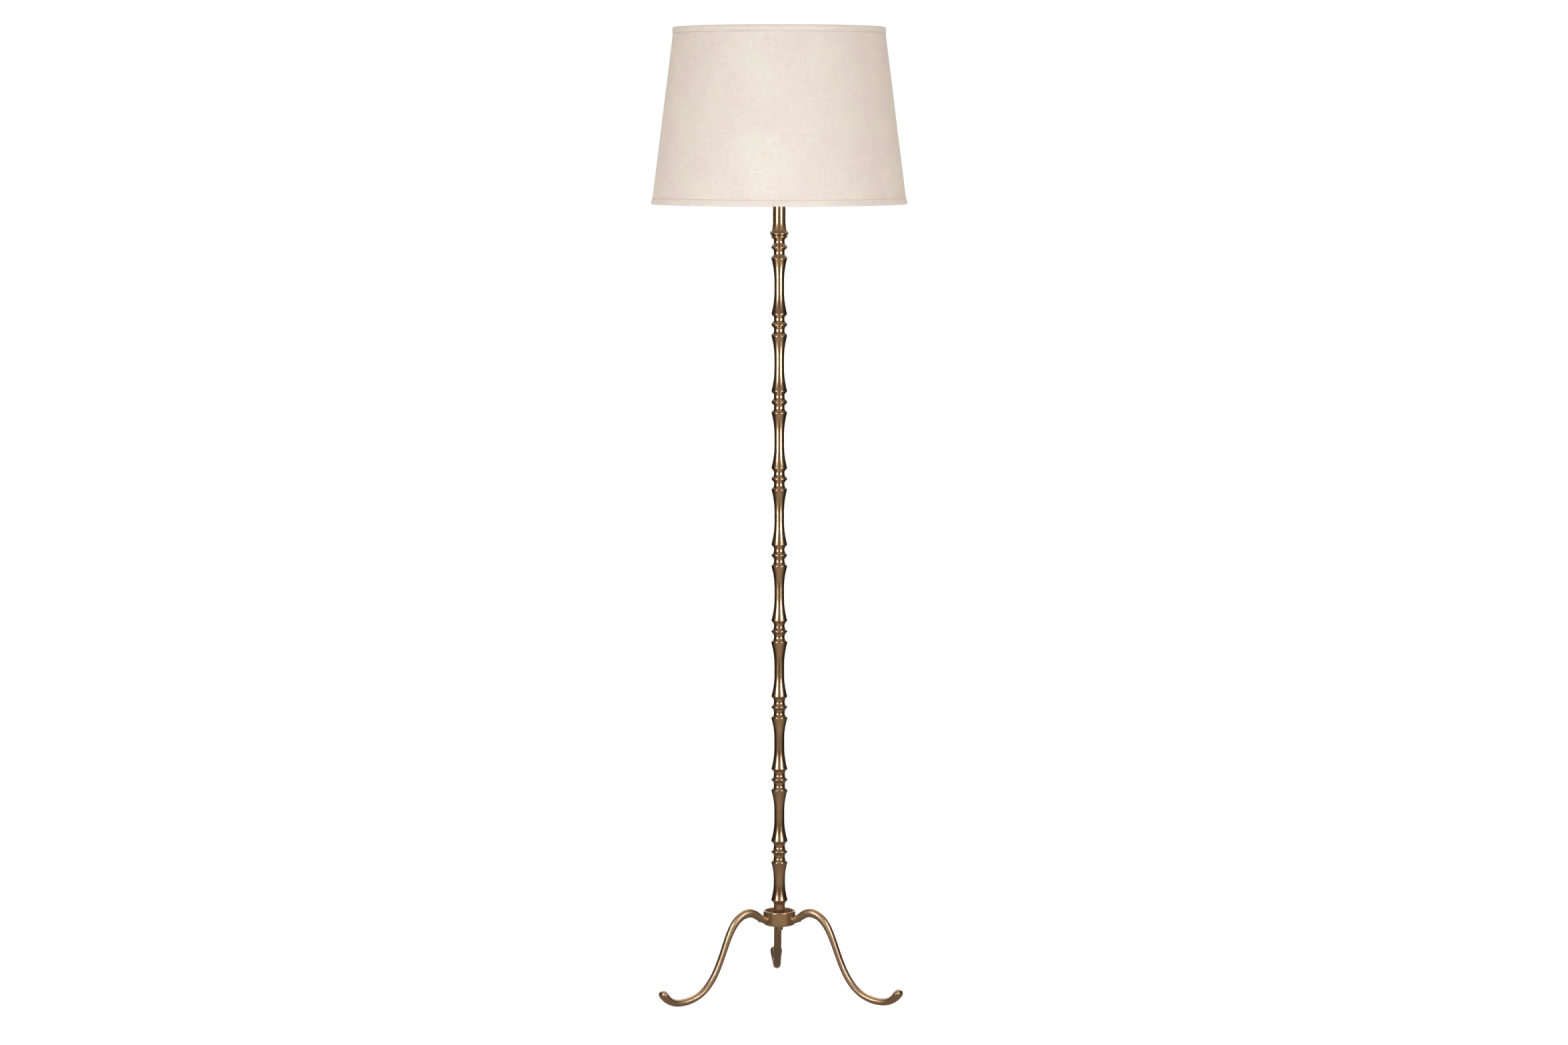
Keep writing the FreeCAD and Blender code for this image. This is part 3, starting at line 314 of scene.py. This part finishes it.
def plain_metal(name, colour, roughness, grain, coat=0.0):
    """A drawn or pressed metal: a colour that drifts a little, grain lines and small marks."""
    finish, tree, shader = start_finish(name)
    here = place_on(tree)
    clouds = noise(tree, here, (70, 70, 70), detail=3)
    lines = noise(tree, here, grain, detail=2, roughness=0.6)
    marks = noise(tree, here, (900, 900, 900), detail=1)
    darker = tuple(part * METAL_DARKER for part in colour) + (1,)
    colour = blend_colours(tree, ramp(tree, clouds, 0.35, 0.7, 0.0, 0.55), colour + (1,), darker)
    tree.links.new(colour, shader.inputs["Base Color"])
    rough = ramp(tree, clouds, 0.3, 0.7, roughness - 0.04, roughness + 0.08)
    rough = math_of(tree, "ADD", rough, ramp(tree, lines, 0.3, 0.7, -0.03, 0.04))
    tree.links.new(rough, shader.inputs["Roughness"])
    shader.inputs["Metallic"].default_value = 1.0
    shader.inputs["Coat Weight"].default_value = coat
    shader.inputs["Coat Roughness"].default_value = 0.15
    pits = relief(tree, shader, marks, PIT_DEPTH)
    relief(tree, shader, lines, GRAIN_DEPTH, under=pits)
    return finish


FINISHES = {
    "polished_brass": plain_metal("lacquered_brass", (0.72, 0.53, 0.27), 0.22,
                                  (120, 120, 1800), coat=0.35),
    "socket_brass": plain_metal("socket_brass", (0.70, 0.52, 0.27), 0.28,
                                (120, 120, 2600), coat=0.25),
    "steel": plain_metal("zinc_plated_steel", (0.60, 0.61, 0.63), 0.34, (150, 150, 3000)),
    "bulb_metal": plain_metal("pressed_aluminium", (0.80, 0.80, 0.82), 0.25, (100, 100, 2200)),
}
print("plain metals:", ", ".join(FINISHES))

# %% [markdown]
# ## Moulded plastic, card, enamel and glass
# These are the small working parts. Black plastic has a fine moulded texture, the insulator is
# pressed fibre card, the shade's wires are dipped in white enamel, and its liner is a smooth
# white sheet. They differ in colour, shine and the size of their grain, so one recipe with those
# numbers makes them all.

# %% Plastic, card and enamel
def coated(name, colour, roughness, grain_size, grain_depth, drift=0.12, coat=0.0):
    """A plastic, card or enamel: mottled colour and a raised grain of a given size in metres."""
    finish, tree, shader = start_finish(name)
    here = place_on(tree)
    scale = 1 / grain_size
    grain = noise(tree, here, (scale, scale, scale), detail=2, roughness=0.6)
    clouds = noise(tree, here, (40, 40, 40), detail=3)
    darker = tuple(part * (1 - drift) for part in colour) + (1,)
    mixed = blend_colours(tree, ramp(tree, clouds, 0.35, 0.65), colour + (1,), darker)
    mixed = blend_colours(tree, ramp(tree, grain, 0.5, 0.8, 0.0, 0.4), mixed, darker)
    tree.links.new(mixed, shader.inputs["Base Color"])
    rough = ramp(tree, grain, 0.3, 0.7, roughness - 0.05, roughness + 0.05)
    tree.links.new(rough, shader.inputs["Roughness"])
    shader.inputs["Coat Weight"].default_value = coat
    shader.inputs["Coat Roughness"].default_value = 0.1
    relief(tree, shader, grain, grain_depth)
    return finish


FINISHES["black_plastic"] = coated("moulded_black", (0.022, 0.021, 0.020), 0.42, 0.0006, 2e-5,
                                   drift=0.3)
FINISHES["insulator_card"] = coated("fibre_card", (0.50, 0.40, 0.28), 0.85, 0.0012, 5e-5,
                                    drift=0.25)
FINISHES["white_wire"] = coated("white_enamel", (0.86, 0.85, 0.82), 0.30, 0.0025, 2e-5,
                                drift=0.05, coat=0.4)
FINISHES["liner"] = coated("shade_liner_sheet", (0.86, 0.84, 0.79), 0.45, 0.0015, 1e-5,
                           drift=0.04)
print("finishes so far:", ", ".join(FINISHES))

# %% [markdown]
# ## Frosted glass
# The bulb is frosted on the inside. It could be made of real glass with a rough inner face, which
# is slow to render and noisy. From outside it looks like milk under a smooth clear skin, so that
# is what we make: a white body that lets a little light wander in it, under a clear coat.

# %% Frosted glass
def frosted_glass():
    """White frosting inside a smooth clear skin."""
    finish, tree, shader = start_finish("frosted_bulb_glass")
    here = place_on(tree)
    frost = noise(tree, here, (1500, 1500, 1500), detail=2)
    clouds = noise(tree, here, (60, 60, 60), detail=2)
    colour = blend_colours(tree, clouds, (0.93, 0.93, 0.91, 1), (0.86, 0.87, 0.87, 1))
    tree.links.new(colour, shader.inputs["Base Color"])
    tree.links.new(ramp(tree, frost, 0.3, 0.7, 0.35, 0.5), shader.inputs["Roughness"])
    shader.inputs["Subsurface Weight"].default_value = 0.25
    shader.inputs["Subsurface Radius"].default_value = (0.006, 0.006, 0.006)
    shader.inputs["Coat Weight"].default_value = 1.0
    shader.inputs["Coat Roughness"].default_value = 0.05
    return finish


FINISHES["bulb_glass"] = frosted_glass()
print("finish added:", FINISHES["bulb_glass"].name)

# %% [markdown]
# ## Handing the finishes out
# The model's record names a material slot for every solid. We could list the solids again here,
# but then a new one would be forgotten, so the record is asked. The brass and the linen are left
# out, because they are handed out piece by piece.

# %% Give each solid the finish of its own slot
slot_of = {part["node"]: part["material_slot"] for part in frame["record"]["subparts"]}
for name, slot in slot_of.items():
    if slot in FINISHES:
        nodes[name].material_slots[0].material = FINISHES[slot]
print({slot: sum(1 for other in slot_of.values() if other == slot) for slot in FINISHES})

# %% [markdown]
# ## Linen
# Linen is woven from threads that are thick in one place and thin in the next. Up close there is a
# plain weave, about two threads to a millimetre. From across a room the threads vanish, and what
# is left is a scatter of slubs, which are short thick places in the threads, both upright and
# level, and soft patches where the yarn took the light differently.
#
# The weave is drawn on the cloth's own flat layout, in metres, so that it turns with the cut.

# %% Linen colours and sizes
THREAD = 0.00052             # from one thread to the next
CREAM = (0.840, 0.760, 0.685, 1)
ROSY = (0.805, 0.712, 0.665, 1)
PALE = (0.930, 0.895, 0.865, 1)    # the slubs
SHADOW = (0.58, 0.47, 0.37, 1)     # thin places and gaps in the threads, flecks, and painted shade near other surfaces and along the tapes' edges
WEAVE_DEPTH = 0.00012
SLUB_DEPTH = 0.00022
NEAR_SHADE_REACH = 0.003         # how near another surface has to be for painted shade on the cloth
UPRIGHT_SLUBS = (520, 36, 1)       # to a metre across and along the cloth's map
LEVEL_SLUBS = (34, 560, 1)
PATCHES = (15, 12, 1)
FLECKS = (210, 150, 1)
FLECK_SHARE = 0.14           # how strongly each one darkens or lightens the cloth
GAP_SHARE = 0.22
THIN_SHARE = 0.30
SLUB_SHARE = 0.55
# how dark the painted shade near other surfaces is
NEAR_SHADE_SHARE = 0.75
# how dark the painted shade along a tape's outer edge is
EDGE_SHADE_SHARE = 0.40
print("linen of", round(0.001 / THREAD, 1), "threads to a millimetre")

# %% [markdown]
# ## The recipe for linen
# Two sine waves crossed make the plain weave. The slubs are noise stretched along each thread
# direction: its peaks are thick pale places, and its hollows are thin darker ones. A repeating
# pattern could be tiled over the cloth instead, but the eye finds a repeat at once.

# %% Linen
def linen(name, edge_line=0.0):
    """Plain weave with slubs both ways; the cloth's map holds its flat layout in metres.

    edge_line is how wide a line of painted shade is along a tape's outer edge, where it meets the
    cloth."""
    finish, tree, shader = start_finish(name)
    flat = add(tree, "UVMap", uv_map="UVMap").outputs[0]
    waver = noise(tree, flat, (60, 60, 1), detail=2)
    sway = add(tree, "CombineXYZ", {"X": ramp(tree, waver, 0.3, 0.7, -THREAD, THREAD)})
    wobble = add(tree, "VectorMath", {0: flat, 1: sway.outputs[0]}, operation="ADD")
    across = add(tree, "SeparateXYZ", {0: wobble.outputs[0]})
    waves = []
    for axis in ("X", "Y"):
        phase = math_of(tree, "MULTIPLY", across.outputs[axis], math.pi / THREAD)
        waves.append(math_of(tree, "SINE", phase, 0.0))
    weave = ramp(tree, math_of(tree, "MULTIPLY", waves[0], waves[1]), -1.0, 1.0)
    upright = noise(tree, flat, UPRIGHT_SLUBS, detail=3, roughness=0.65)
    level = noise(tree, flat, LEVEL_SLUBS, detail=3, roughness=0.65)
    patches = noise(tree, flat, PATCHES, detail=5, roughness=0.62)
    fleck = noise(tree, flat, FLECKS, detail=2)
    slubs = math_of(tree, "MAXIMUM", ramp(tree, upright, 0.54, 0.76),
                    ramp(tree, level, 0.54, 0.76))
    thin = math_of(tree, "MAXIMUM", ramp(tree, upright, 0.44, 0.24),
                   ramp(tree, level, 0.44, 0.24))
    colour = blend_colours(tree, ramp(tree, patches, 0.38, 0.62), CREAM, ROSY)
    flecks = ramp(tree, fleck, 0.52, 0.78, 0.0, FLECK_SHARE)
    colour = blend_colours(tree, flecks, colour, SHADOW)
    gaps = ramp(tree, weave, 0.0, 0.5, GAP_SHARE, 0.0)
    colour = blend_colours(tree, gaps, colour, SHADOW)
    colour = blend_colours(tree, math_of(tree, "MULTIPLY", thin, THIN_SHARE), colour, SHADOW)
    colour = blend_colours(tree, math_of(tree, "MULTIPLY", slubs, SLUB_SHARE), colour, PALE)
    # Painted shade: the cloth is darkened towards SHADOW wherever another surface is near, as at
    # the tapes' edges and the lap.
    nearness = add(tree, "AmbientOcclusion", {"Distance": NEAR_SHADE_REACH},
                 samples=MASK_RAYS).outputs["AO"]
    painted_near_shade = ramp(tree, nearness, 0.45, 0.92, NEAR_SHADE_SHARE, 0.0)
    colour = blend_colours(tree, painted_near_shade, colour, SHADOW)
    if edge_line:
        # Painted shade: a thin darker line along the tape's outer edge, where it steps onto the
        # cloth.
        from_edge = add(tree, "SeparateXYZ", {0: flat}).outputs["Y"]
        painted_edge_shade = ramp(tree, from_edge, 0.3 * edge_line, edge_line, EDGE_SHADE_SHARE, 0.0)
        colour = blend_colours(tree, painted_edge_shade, colour, SHADOW)
    tree.links.new(colour, shader.inputs["Base Color"])
    tree.links.new(ramp(tree, weave, 0.0, 1.0, 0.92, 0.78), shader.inputs["Roughness"])
    shader.inputs["Specular IOR Level"].default_value = 0.2
    shader.inputs["Sheen Weight"].default_value = 0.15
    shader.inputs["Sheen Roughness"].default_value = 0.5
    threads = relief(tree, shader, weave, WEAVE_DEPTH)
    relief(tree, shader, math_of(tree, "SUBTRACT", slubs, thin), SLUB_DEPTH, under=threads)
    return finish


# how wide the painted shade line along each tape's outer edge is
EDGE_SHADE_WIDTH = 0.0016
linen_cloth = linen("shade_linen")
linen_tape = linen("shade_linen_tape", edge_line=EDGE_SHADE_WIDTH)
print("linen for the cloth and for the tapes:", linen_cloth.name, linen_tape.name)

# %% [markdown]
# ## The shape of the shade
# The shade is a tapered drum, a slice of a cone. Its radii and heights could be typed in again,
# but then they could disagree with the solid cloth that ours replaces, so they are measured on
# that solid.

# %% Measure the cone
RIM_DEPTH = 0.0005           # points this near to a solid's edge belong to its rim


def widest_at(name, top):
    """The greatest distance from the axis at a solid's top or bottom edge."""
    low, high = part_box(name)
    level = high.z if top else low.z
    rim = [math.hypot(v.co.x, v.co.y) for v in nodes[name].data.vertices
           if abs(v.co.z - level) < RIM_DEPTH]
    return max(rim), level


low_radius, cloth_bottom = widest_at("shade_fabric", False)
high_radius, cloth_top = widest_at("shade_fabric", True)
taper = (low_radius - high_radius) / (cloth_top - cloth_bottom)
slant = math.hypot(cloth_top - cloth_bottom, low_radius - high_radius)
lean = (low_radius - high_radius) / slant      # sine of the cone's half angle


def cone_radius(height):
    """The outside of the cloth at a height above the floor."""
    return low_radius - taper * (height - cloth_bottom)


print(f"cone {2 * low_radius:.4f} to {2 * high_radius:.4f} m across, slant {slant:.4f} m")

# %% [markdown]
# ## The shade's cloth
# A tapered drum unrolls into a flat curved strip, a piece of a ring. The cloth is cut to that
# shape with a little extra at one end, wrapped round the stiff liner and lapped at the back. It
# could be a turned skin, but that has no seam and nowhere to take its threads from. So we make it
# the way the shade maker does: rows of points on the flat cut, rolled up round the liner, with
# the last few millimetres climbing over the first. The flat position of each point is kept as its
# map, and that is what makes the threads stand upright at the front and lean by the seam.

# %% Sizes of the cloth, and its mesh maker
CLOTH_WALL = 0.0006
LAP = 0.012                   # how far the cloth goes over itself at the back
LAP_RISE = 0.0007             # how far the lap stands out
LAP_EASE = 0.020              # and the length over which it climbs
SEAM_AT = math.pi / 2         # the seam faces straight back
COLUMNS = 360
ROWS = 40
CLOTH_RIPPLE = 0.00018


def smooth(share):
    """0 to 1 with a gentle start and end, for a share of a climb."""
    share = min(max(share, 0.0), 1.0)
    return share * share * (3 - 2 * share)


def make_mesh(name, points, faces, finish, flat=None):
    """A smooth shaded mesh object; flat gives each point's place on the flat cut."""
    mesh = bpy.data.meshes.new(name)
    mesh.from_pydata(points, [], faces)
    mesh.polygons.foreach_set("use_smooth", [True] * len(mesh.polygons))
    if flat is not None:
        layer = mesh.uv_layers.new(name="UVMap")
        for loop in mesh.loops:
            layer.data[loop.index].uv = flat[loop.vertex_index]
    mesh.materials.append(finish)
    mesh.update()
    piece = bpy.data.objects.new(name, mesh)
    bpy.context.scene.collection.objects.link(piece)
    return piece


print(f"cloth {CLOTH_WALL * 1000:.1f} mm thick with a lap of {LAP * 1000:.0f} mm")

# %% Roll up the cloth
def roll_cloth():
    """The cloth's points, faces and flat layout."""
    points, flat = [], []
    for column in range(COLUMNS + 1):
        share = column / COLUMNS
        turn = share * (2 * math.pi + LAP / low_radius)
        past_start = (turn - 2 * math.pi) * low_radius
        climb = LAP_RISE * smooth((past_start + LAP_EASE) / LAP_EASE)
        for row in range(ROWS + 1):
            height = cloth_bottom + (cloth_top - cloth_bottom) * row / ROWS
            ripple = CLOTH_RIPPLE * (math.sin(9 * turn + 14 * height)
                                     + 0.6 * math.sin(23 * turn - 31 * height)) / 1.6
            radius = cone_radius(height) - CLOTH_WALL / 2 + climb + ripple
            angle = SEAM_AT + turn
            points.append((radius * math.cos(angle), radius * math.sin(angle), height))
            reach = cone_radius(height) / lean
            fan = (turn - math.pi) * lean
            flat.append((reach * math.sin(fan), reach * math.cos(fan)))
    step = ROWS + 1
    faces = [(c * step + r, (c + 1) * step + r, (c + 1) * step + r + 1, c * step + r + 1)
             for c in range(COLUMNS) for r in range(ROWS)]
    return points, faces, flat


cloth_points, cloth_faces, cloth_flat = roll_cloth()
cloth = make_mesh("shade_cloth", cloth_points, cloth_faces, linen_cloth, cloth_flat)
wall = cloth.modifiers.new("wall", "SOLIDIFY")
wall.thickness = CLOTH_WALL
wall.offset = 0.0
print(len(cloth.data.polygons), "faces in the cloth")

# %% [markdown]
# ## The edge tapes
# The raw edges are hidden by a tape of the same linen, folded over the edge and the ring wire and
# glued on both sides. Its bottom stands out as a soft roll, because the cloth there is doubled.
# Each tape is one profile, a long hook, carried round the shade. The same profile upside down
# makes the top tape. It is lapped over itself at the back too.

# %% Draw the tape's profile
TAPE_HEIGHT = 0.0108         # of the leg that shows
TAPE_WALL = 0.00055
ROLL_OUT = 0.0013            # how far the roll stands out
INNER_SET = 0.0033           # how far in from the cloth's face the inner leg lies
INNER_HEIGHT = 0.0100
TAPE_COLUMNS = 360
TAPE_LAP = 0.010
TAPE_SEAM_PAST = 0.2         # radians from the cloth's seam to the tape's, so they do not pile up


def tape_profile():
    """(distance out from the cloth's face, height from the shade's edge) along the tape."""
    outer_leg = [(0.00035, TAPE_HEIGHT), (0.00050, TAPE_HEIGHT * 0.86), (0.00055, 0.0072)]
    roll = [(0.0010, 0.0056), (ROLL_OUT, 0.0040), (ROLL_OUT, 0.0024), (0.0008, 0.0010),
            (-0.0004, 0.0004), (-0.0018, 0.0005)]
    inner_leg = [(-INNER_SET + 0.0003, 0.0016), (-INNER_SET, 0.0034),
                 (-INNER_SET + 0.0001, 0.0070), (-INNER_SET + 0.0003, INNER_HEIGHT)]
    return outer_leg + roll + inner_leg


print(len(tape_profile()), "points across the tape")

# %% [markdown]
# ## Winding the tapes on
# The profile is carried round the shade and leans with the cone, because every point asks for the
# cone's radius at its own height. Sewn and glued cloth is never quite even, so the free edge
# wavers by a third of a millimetre and the roll swells and thins a little. These are sine waves
# and not random numbers, so the tape comes out the same each time.

# %% Carry the profile round the shade
shade_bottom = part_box("shade_trim_bottom")[0].z
shade_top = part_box("shade_trim_top")[1].z


def tape_piece(name, edge, up):
    """A tape on the shade's edge height; up is 1 for the bottom edge and -1 for the top."""
    profile = tape_profile()
    lengths = [0.0]
    for before, after in zip(profile, profile[1:]):
        lengths.append(lengths[-1] + math.dist(before, after))
    points, flat = [], []
    for column in range(TAPE_COLUMNS + 1):
        turn = column / TAPE_COLUMNS * (2 * math.pi + TAPE_LAP / low_radius)
        past_start = (turn - 2 * math.pi) * low_radius
        climb = LAP_RISE * smooth((past_start + LAP_EASE) / LAP_EASE)
        waver = 0.00022 * math.sin(31 * turn) + 0.00015 * math.sin(77 * turn + up)
        for (out, rise), along in zip(profile, lengths):
            free = rise / TAPE_HEIGHT if out > 0 else 0.0
            height = edge + up * (rise + waver * free)
            swell = 1 + 0.12 * math.sin(53 * turn + 2 * up) * math.sin(19 * turn)
            offset = out * (swell if out > 0 else 1.0) + (climb if out > 0 else 0.0)
            radius = cone_radius(height) + offset
            angle = SEAM_AT + turn + TAPE_SEAM_PAST
            points.append((radius * math.cos(angle), radius * math.sin(angle), height))
            flat.append((turn * low_radius, along))
    step = len(profile)
    quads = [(c * step + r, c * step + r + 1, (c + 1) * step + r + 1, (c + 1) * step + r)
             for c in range(TAPE_COLUMNS) for r in range(step - 1)]
    faces = quads if up > 0 else [tuple(reversed(quad)) for quad in quads]
    piece = make_mesh(name, points, faces, linen_tape, flat)
    thick = piece.modifiers.new("wall", "SOLIDIFY")
    thick.thickness = TAPE_WALL
    thick.offset = 0.0
    soften = piece.modifiers.new("soften", "SUBSURF")
    soften.levels = soften.render_levels = 1
    return piece


tapes = {"shade_trim_bottom": tape_piece("shade_tape_bottom", shade_bottom, 1),
         "shade_trim_top": tape_piece("shade_tape_top", shade_top, -1)}
print("tapes", [piece.name for piece in tapes.values()])

# %% [markdown]
# ## What the soft pieces stand for
# Each soft piece rides on the shade's body, so it turns with the shade, and takes the place of the
# solid that the mechanical model uses for it.

# %% Ride and replace
for node, piece in tapes.items():
    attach(piece, "shade")
    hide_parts(node)
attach(cloth, "shade")
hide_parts("shade_fabric")

# %% [markdown]
# ## The studio floor
# Polished round metal is a mirror of its room, so lighting it is really about what it reflects,
# while matt cloth only asks for an even light from all round. A real studio needs flags and
# cards to serve both. Here each kind of ray can be told what it finds. The camera finds a floor
# that burns out to plain white. The brass finds a warm lit patch in front of the lamp and
# darkness further off, which draws its brown edges. The cloth finds a pale matt floor.
#
# From underneath the floor is clear, so that the lamp can be looked at from below.

# %% Lay the floor
FLOOR_SIZE = 60.0
FLOOR_GREY = (0.62, 0.61, 0.60, 1)
FLOOR_ROUGH = 0.9
WHITE = (1, 1, 1, 1)
FLOOR_SEEN = 1.00            # added for the camera, so that the floor burns out to white
FLOOR_MIRRORED = 0.57        # how bright the lit patch looks in the brass
FLOOR_DIM = 0.02             # and the floor beyond it
PATCH_WARM = (1.0, 0.88, 0.72, 1)
LIT_NEAR = 0.6               # the patch starts to fade at this distance from its middle
LIT_FAR = 2.0                # and has faded here
LIT_MIDDLE = (0, -1.3, 0)    # in front of the lamp

half = FLOOR_SIZE / 2
floor_mesh = bpy.data.meshes.new("studio_floor")
floor_mesh.from_pydata([(-half, -half, 0), (half, -half, 0), (half, half, 0), (-half, half, 0)],
                       [], [(0, 1, 2, 3)])
floor = bpy.data.objects.new("studio_floor", floor_mesh)
bpy.context.scene.collection.objects.link(floor)
print("floor", FLOOR_SIZE, "m across")

# %% What each ray finds on the floor
floor_finish, tree, shader = start_finish("studio_floor")
shader.inputs["Base Color"].default_value = FLOOR_GREY
shader.inputs["Roughness"].default_value = FLOOR_ROUGH
ray = add(tree, "LightPath")
spot = add(tree, "VectorMath", {0: place_on(tree), 1: LIT_MIDDLE}, operation="SUBTRACT")
away = add(tree, "VectorMath", {0: spot.outputs[0]}, operation="LENGTH").outputs["Value"]
patch = ramp(tree, away, LIT_NEAR, LIT_FAR, FLOOR_MIRRORED, FLOOR_DIM)
seen_glow = add(tree, "Emission", {"Color": WHITE, "Strength": FLOOR_SEEN})
mirror_glow = add(tree, "Emission", {"Color": PATCH_WARM, "Strength": patch})
unseen = add(tree, "MixShader", {0: ray.outputs["Is Glossy Ray"], 1: shader.outputs[0],
                                 2: mirror_glow.outputs[0]})
seen = add(tree, "AddShader", {0: shader.outputs[0], 1: seen_glow.outputs[0]})
above = add(tree, "MixShader", {0: ray.outputs["Is Camera Ray"], 1: unseen.outputs[0],
                                2: seen.outputs[0]})
clear = add(tree, "BsdfTransparent")
from_below = add(tree, "NewGeometry").outputs["Backfacing"]
surface = add(tree, "MixShader", {0: from_below, 1: above.outputs[0], 2: clear.outputs[0]})
tree.links.new(surface.outputs[0], tree.nodes["Material Output"].inputs["Surface"])
floor_mesh.materials.append(floor_finish)
print("lit patch fades from", LIT_NEAR, "to", LIT_FAR, "m")

# %% [markdown]
# ## The room
# The world round the lamp works the same way: white to the camera, an even warm fill to the
# cloth, and to the brass a nearly black room with two pale places. The ceiling over the front
# shows on the upper sides of the beads and lips, and a small bright panel overhead, a little
# behind, puts a spark on the top of each leg. Real panels could be hung there, but they would
# light the cloth too.

# %% The room
ROOM_FILL = 0.65
FILL_WARM = (1.0, 0.89, 0.775, 1)
ROOM_MIRRORED = 0.02
MIRRORED_WARM = (1.0, 0.92, 0.82, 1)
CEILING_MIRRORED = 0.42
CEILING_LIES = (0.0, -0.50, 0.87)    # towards the middle of the ceiling
CEILING_EDGES = (0.62, 0.92)         # how nearly a ray has to point there: its edge and its full
PANEL_MIRRORED = 1.6
PANEL_LIES = (0.0, 0.57, 0.82)
PANEL_EDGES = (0.82, 0.93)
world = bpy.data.worlds.new("studio_room")
world.use_nodes = True
bpy.context.scene.world = world
tree = world.node_tree
backdrop = tree.nodes["Background"]
backdrop.inputs["Color"].default_value = WHITE
backdrop.inputs["Strength"].default_value = 1.0
ray = add(tree, "LightPath")
fill = add(tree, "Background", {"Color": FILL_WARM, "Strength": ROOM_FILL})
looking = add(tree, "TexCoord").outputs["Generated"]
overhead = add(tree, "VectorMath", {0: looking, 1: CEILING_LIES}, operation="DOT_PRODUCT")
behind = add(tree, "VectorMath", {0: looking, 1: PANEL_LIES}, operation="DOT_PRODUCT")
ceiling = ramp(tree, overhead.outputs["Value"], *CEILING_EDGES, ROOM_MIRRORED, CEILING_MIRRORED)
panel = ramp(tree, behind.outputs["Value"], *PANEL_EDGES, 0.0, PANEL_MIRRORED)
mirrored = add(tree, "Background", {"Color": MIRRORED_WARM,
                                    "Strength": math_of(tree, "MAXIMUM", ceiling, panel)})
unseen = add(tree, "MixShader", {0: ray.outputs["Is Glossy Ray"],
                                 1: fill.outputs[0], 2: mirrored.outputs[0]})
all_rays = add(tree, "MixShader", {0: ray.outputs["Is Camera Ray"],
                                   1: unseen.outputs[0], 2: backdrop.outputs[0]})
tree.links.new(all_rays.outputs[0], tree.nodes["World Output"].inputs["Surface"])
print("room fill", ROOM_FILL, "and", ROOM_MIRRORED, "to a mirror")

# %% [markdown]
# ## The soft boxes
# A round stem draws every light as an upright line, so the lights here are upright boxes. One on
# each side of the camera lights the cloth and makes the pair of bright lines down the stem. A
# narrower core in front of each is seen only by the brass: it gives the line a hot middle and
# soft sides, as a real box has. Two boxes stand behind for the rear of the stem, also for the
# brass only. A wash in front and one behind are too far away to model any shape: they even out
# the cloth, and the brass does not see them.

# %% A soft box
def soft_box(name, turn_from_camera, distance, low, high, width, power,
             colour=(0.90, 0.96, 1.0), in_cloth=True, in_metal=True):
    """An upright light that faces the stem; its turn is measured from the camera's side."""
    light = bpy.data.lights.new(name, "AREA")
    light.shape = "RECTANGLE"
    light.size, light.size_y = width, high - low
    light.energy = power
    light.color = colour
    lamp = bpy.data.objects.new(name, light)
    turn = CAMERA_TURN + math.radians(turn_from_camera)
    lamp.location = (distance * math.sin(turn), -distance * math.cos(turn), (low + high) / 2)
    lamp.rotation_euler = (math.pi / 2, 0, turn)
    lamp.visible_camera = False
    lamp.visible_diffuse = in_cloth
    lamp.visible_glossy = in_metal
    bpy.context.scene.collection.objects.link(lamp)
    return lamp


print("a soft box can be stood anywhere round the stem")

# %% Stand the boxes round the lamp
BOX_TURN = 38                # degrees from the camera's side, to the left and to the right
BACK_TURN = 152
BOX = {"distance": 1.8, "low": 0.60, "high": 1.50, "width": 0.50}
CORE = {"distance": 1.7, "low": 0.72, "high": 1.25, "width": 0.28, "in_cloth": False}
BACK_BOX = {"distance": 1.8, "low": 0.30, "high": 1.60, "width": 0.50, "in_cloth": False}
WASH = {"distance": 4.0, "low": 1.00, "high": 2.20, "width": 1.20, "in_metal": False}
WASH_BLUE = (0.76, 0.95, 1.18)
BACK_WASH_BLUE = (0.90, 0.96, 1.06)

boxes = []
for side, way, power in (("left", -1, 13.0), ("right", 1, 11.0)):
    boxes.append(soft_box("box_" + side, way * BOX_TURN, power=power, **BOX))
    boxes.append(soft_box("core_" + side, way * BOX_TURN, power=11.0, **CORE))
for side, way in (("left", -1), ("right", 1)):
    boxes.append(soft_box("back_" + side, way * BACK_TURN, power=7.0, **BACK_BOX))
boxes.append(soft_box("wash", 0, power=17.0, colour=WASH_BLUE, **WASH))
boxes.append(soft_box("back_wash", 180, power=13.0, colour=BACK_WASH_BLUE, **WASH))
bpy.context.scene.view_settings.view_transform = "Standard"
print(len(boxes), "soft boxes:", ", ".join(box.name for box in boxes))
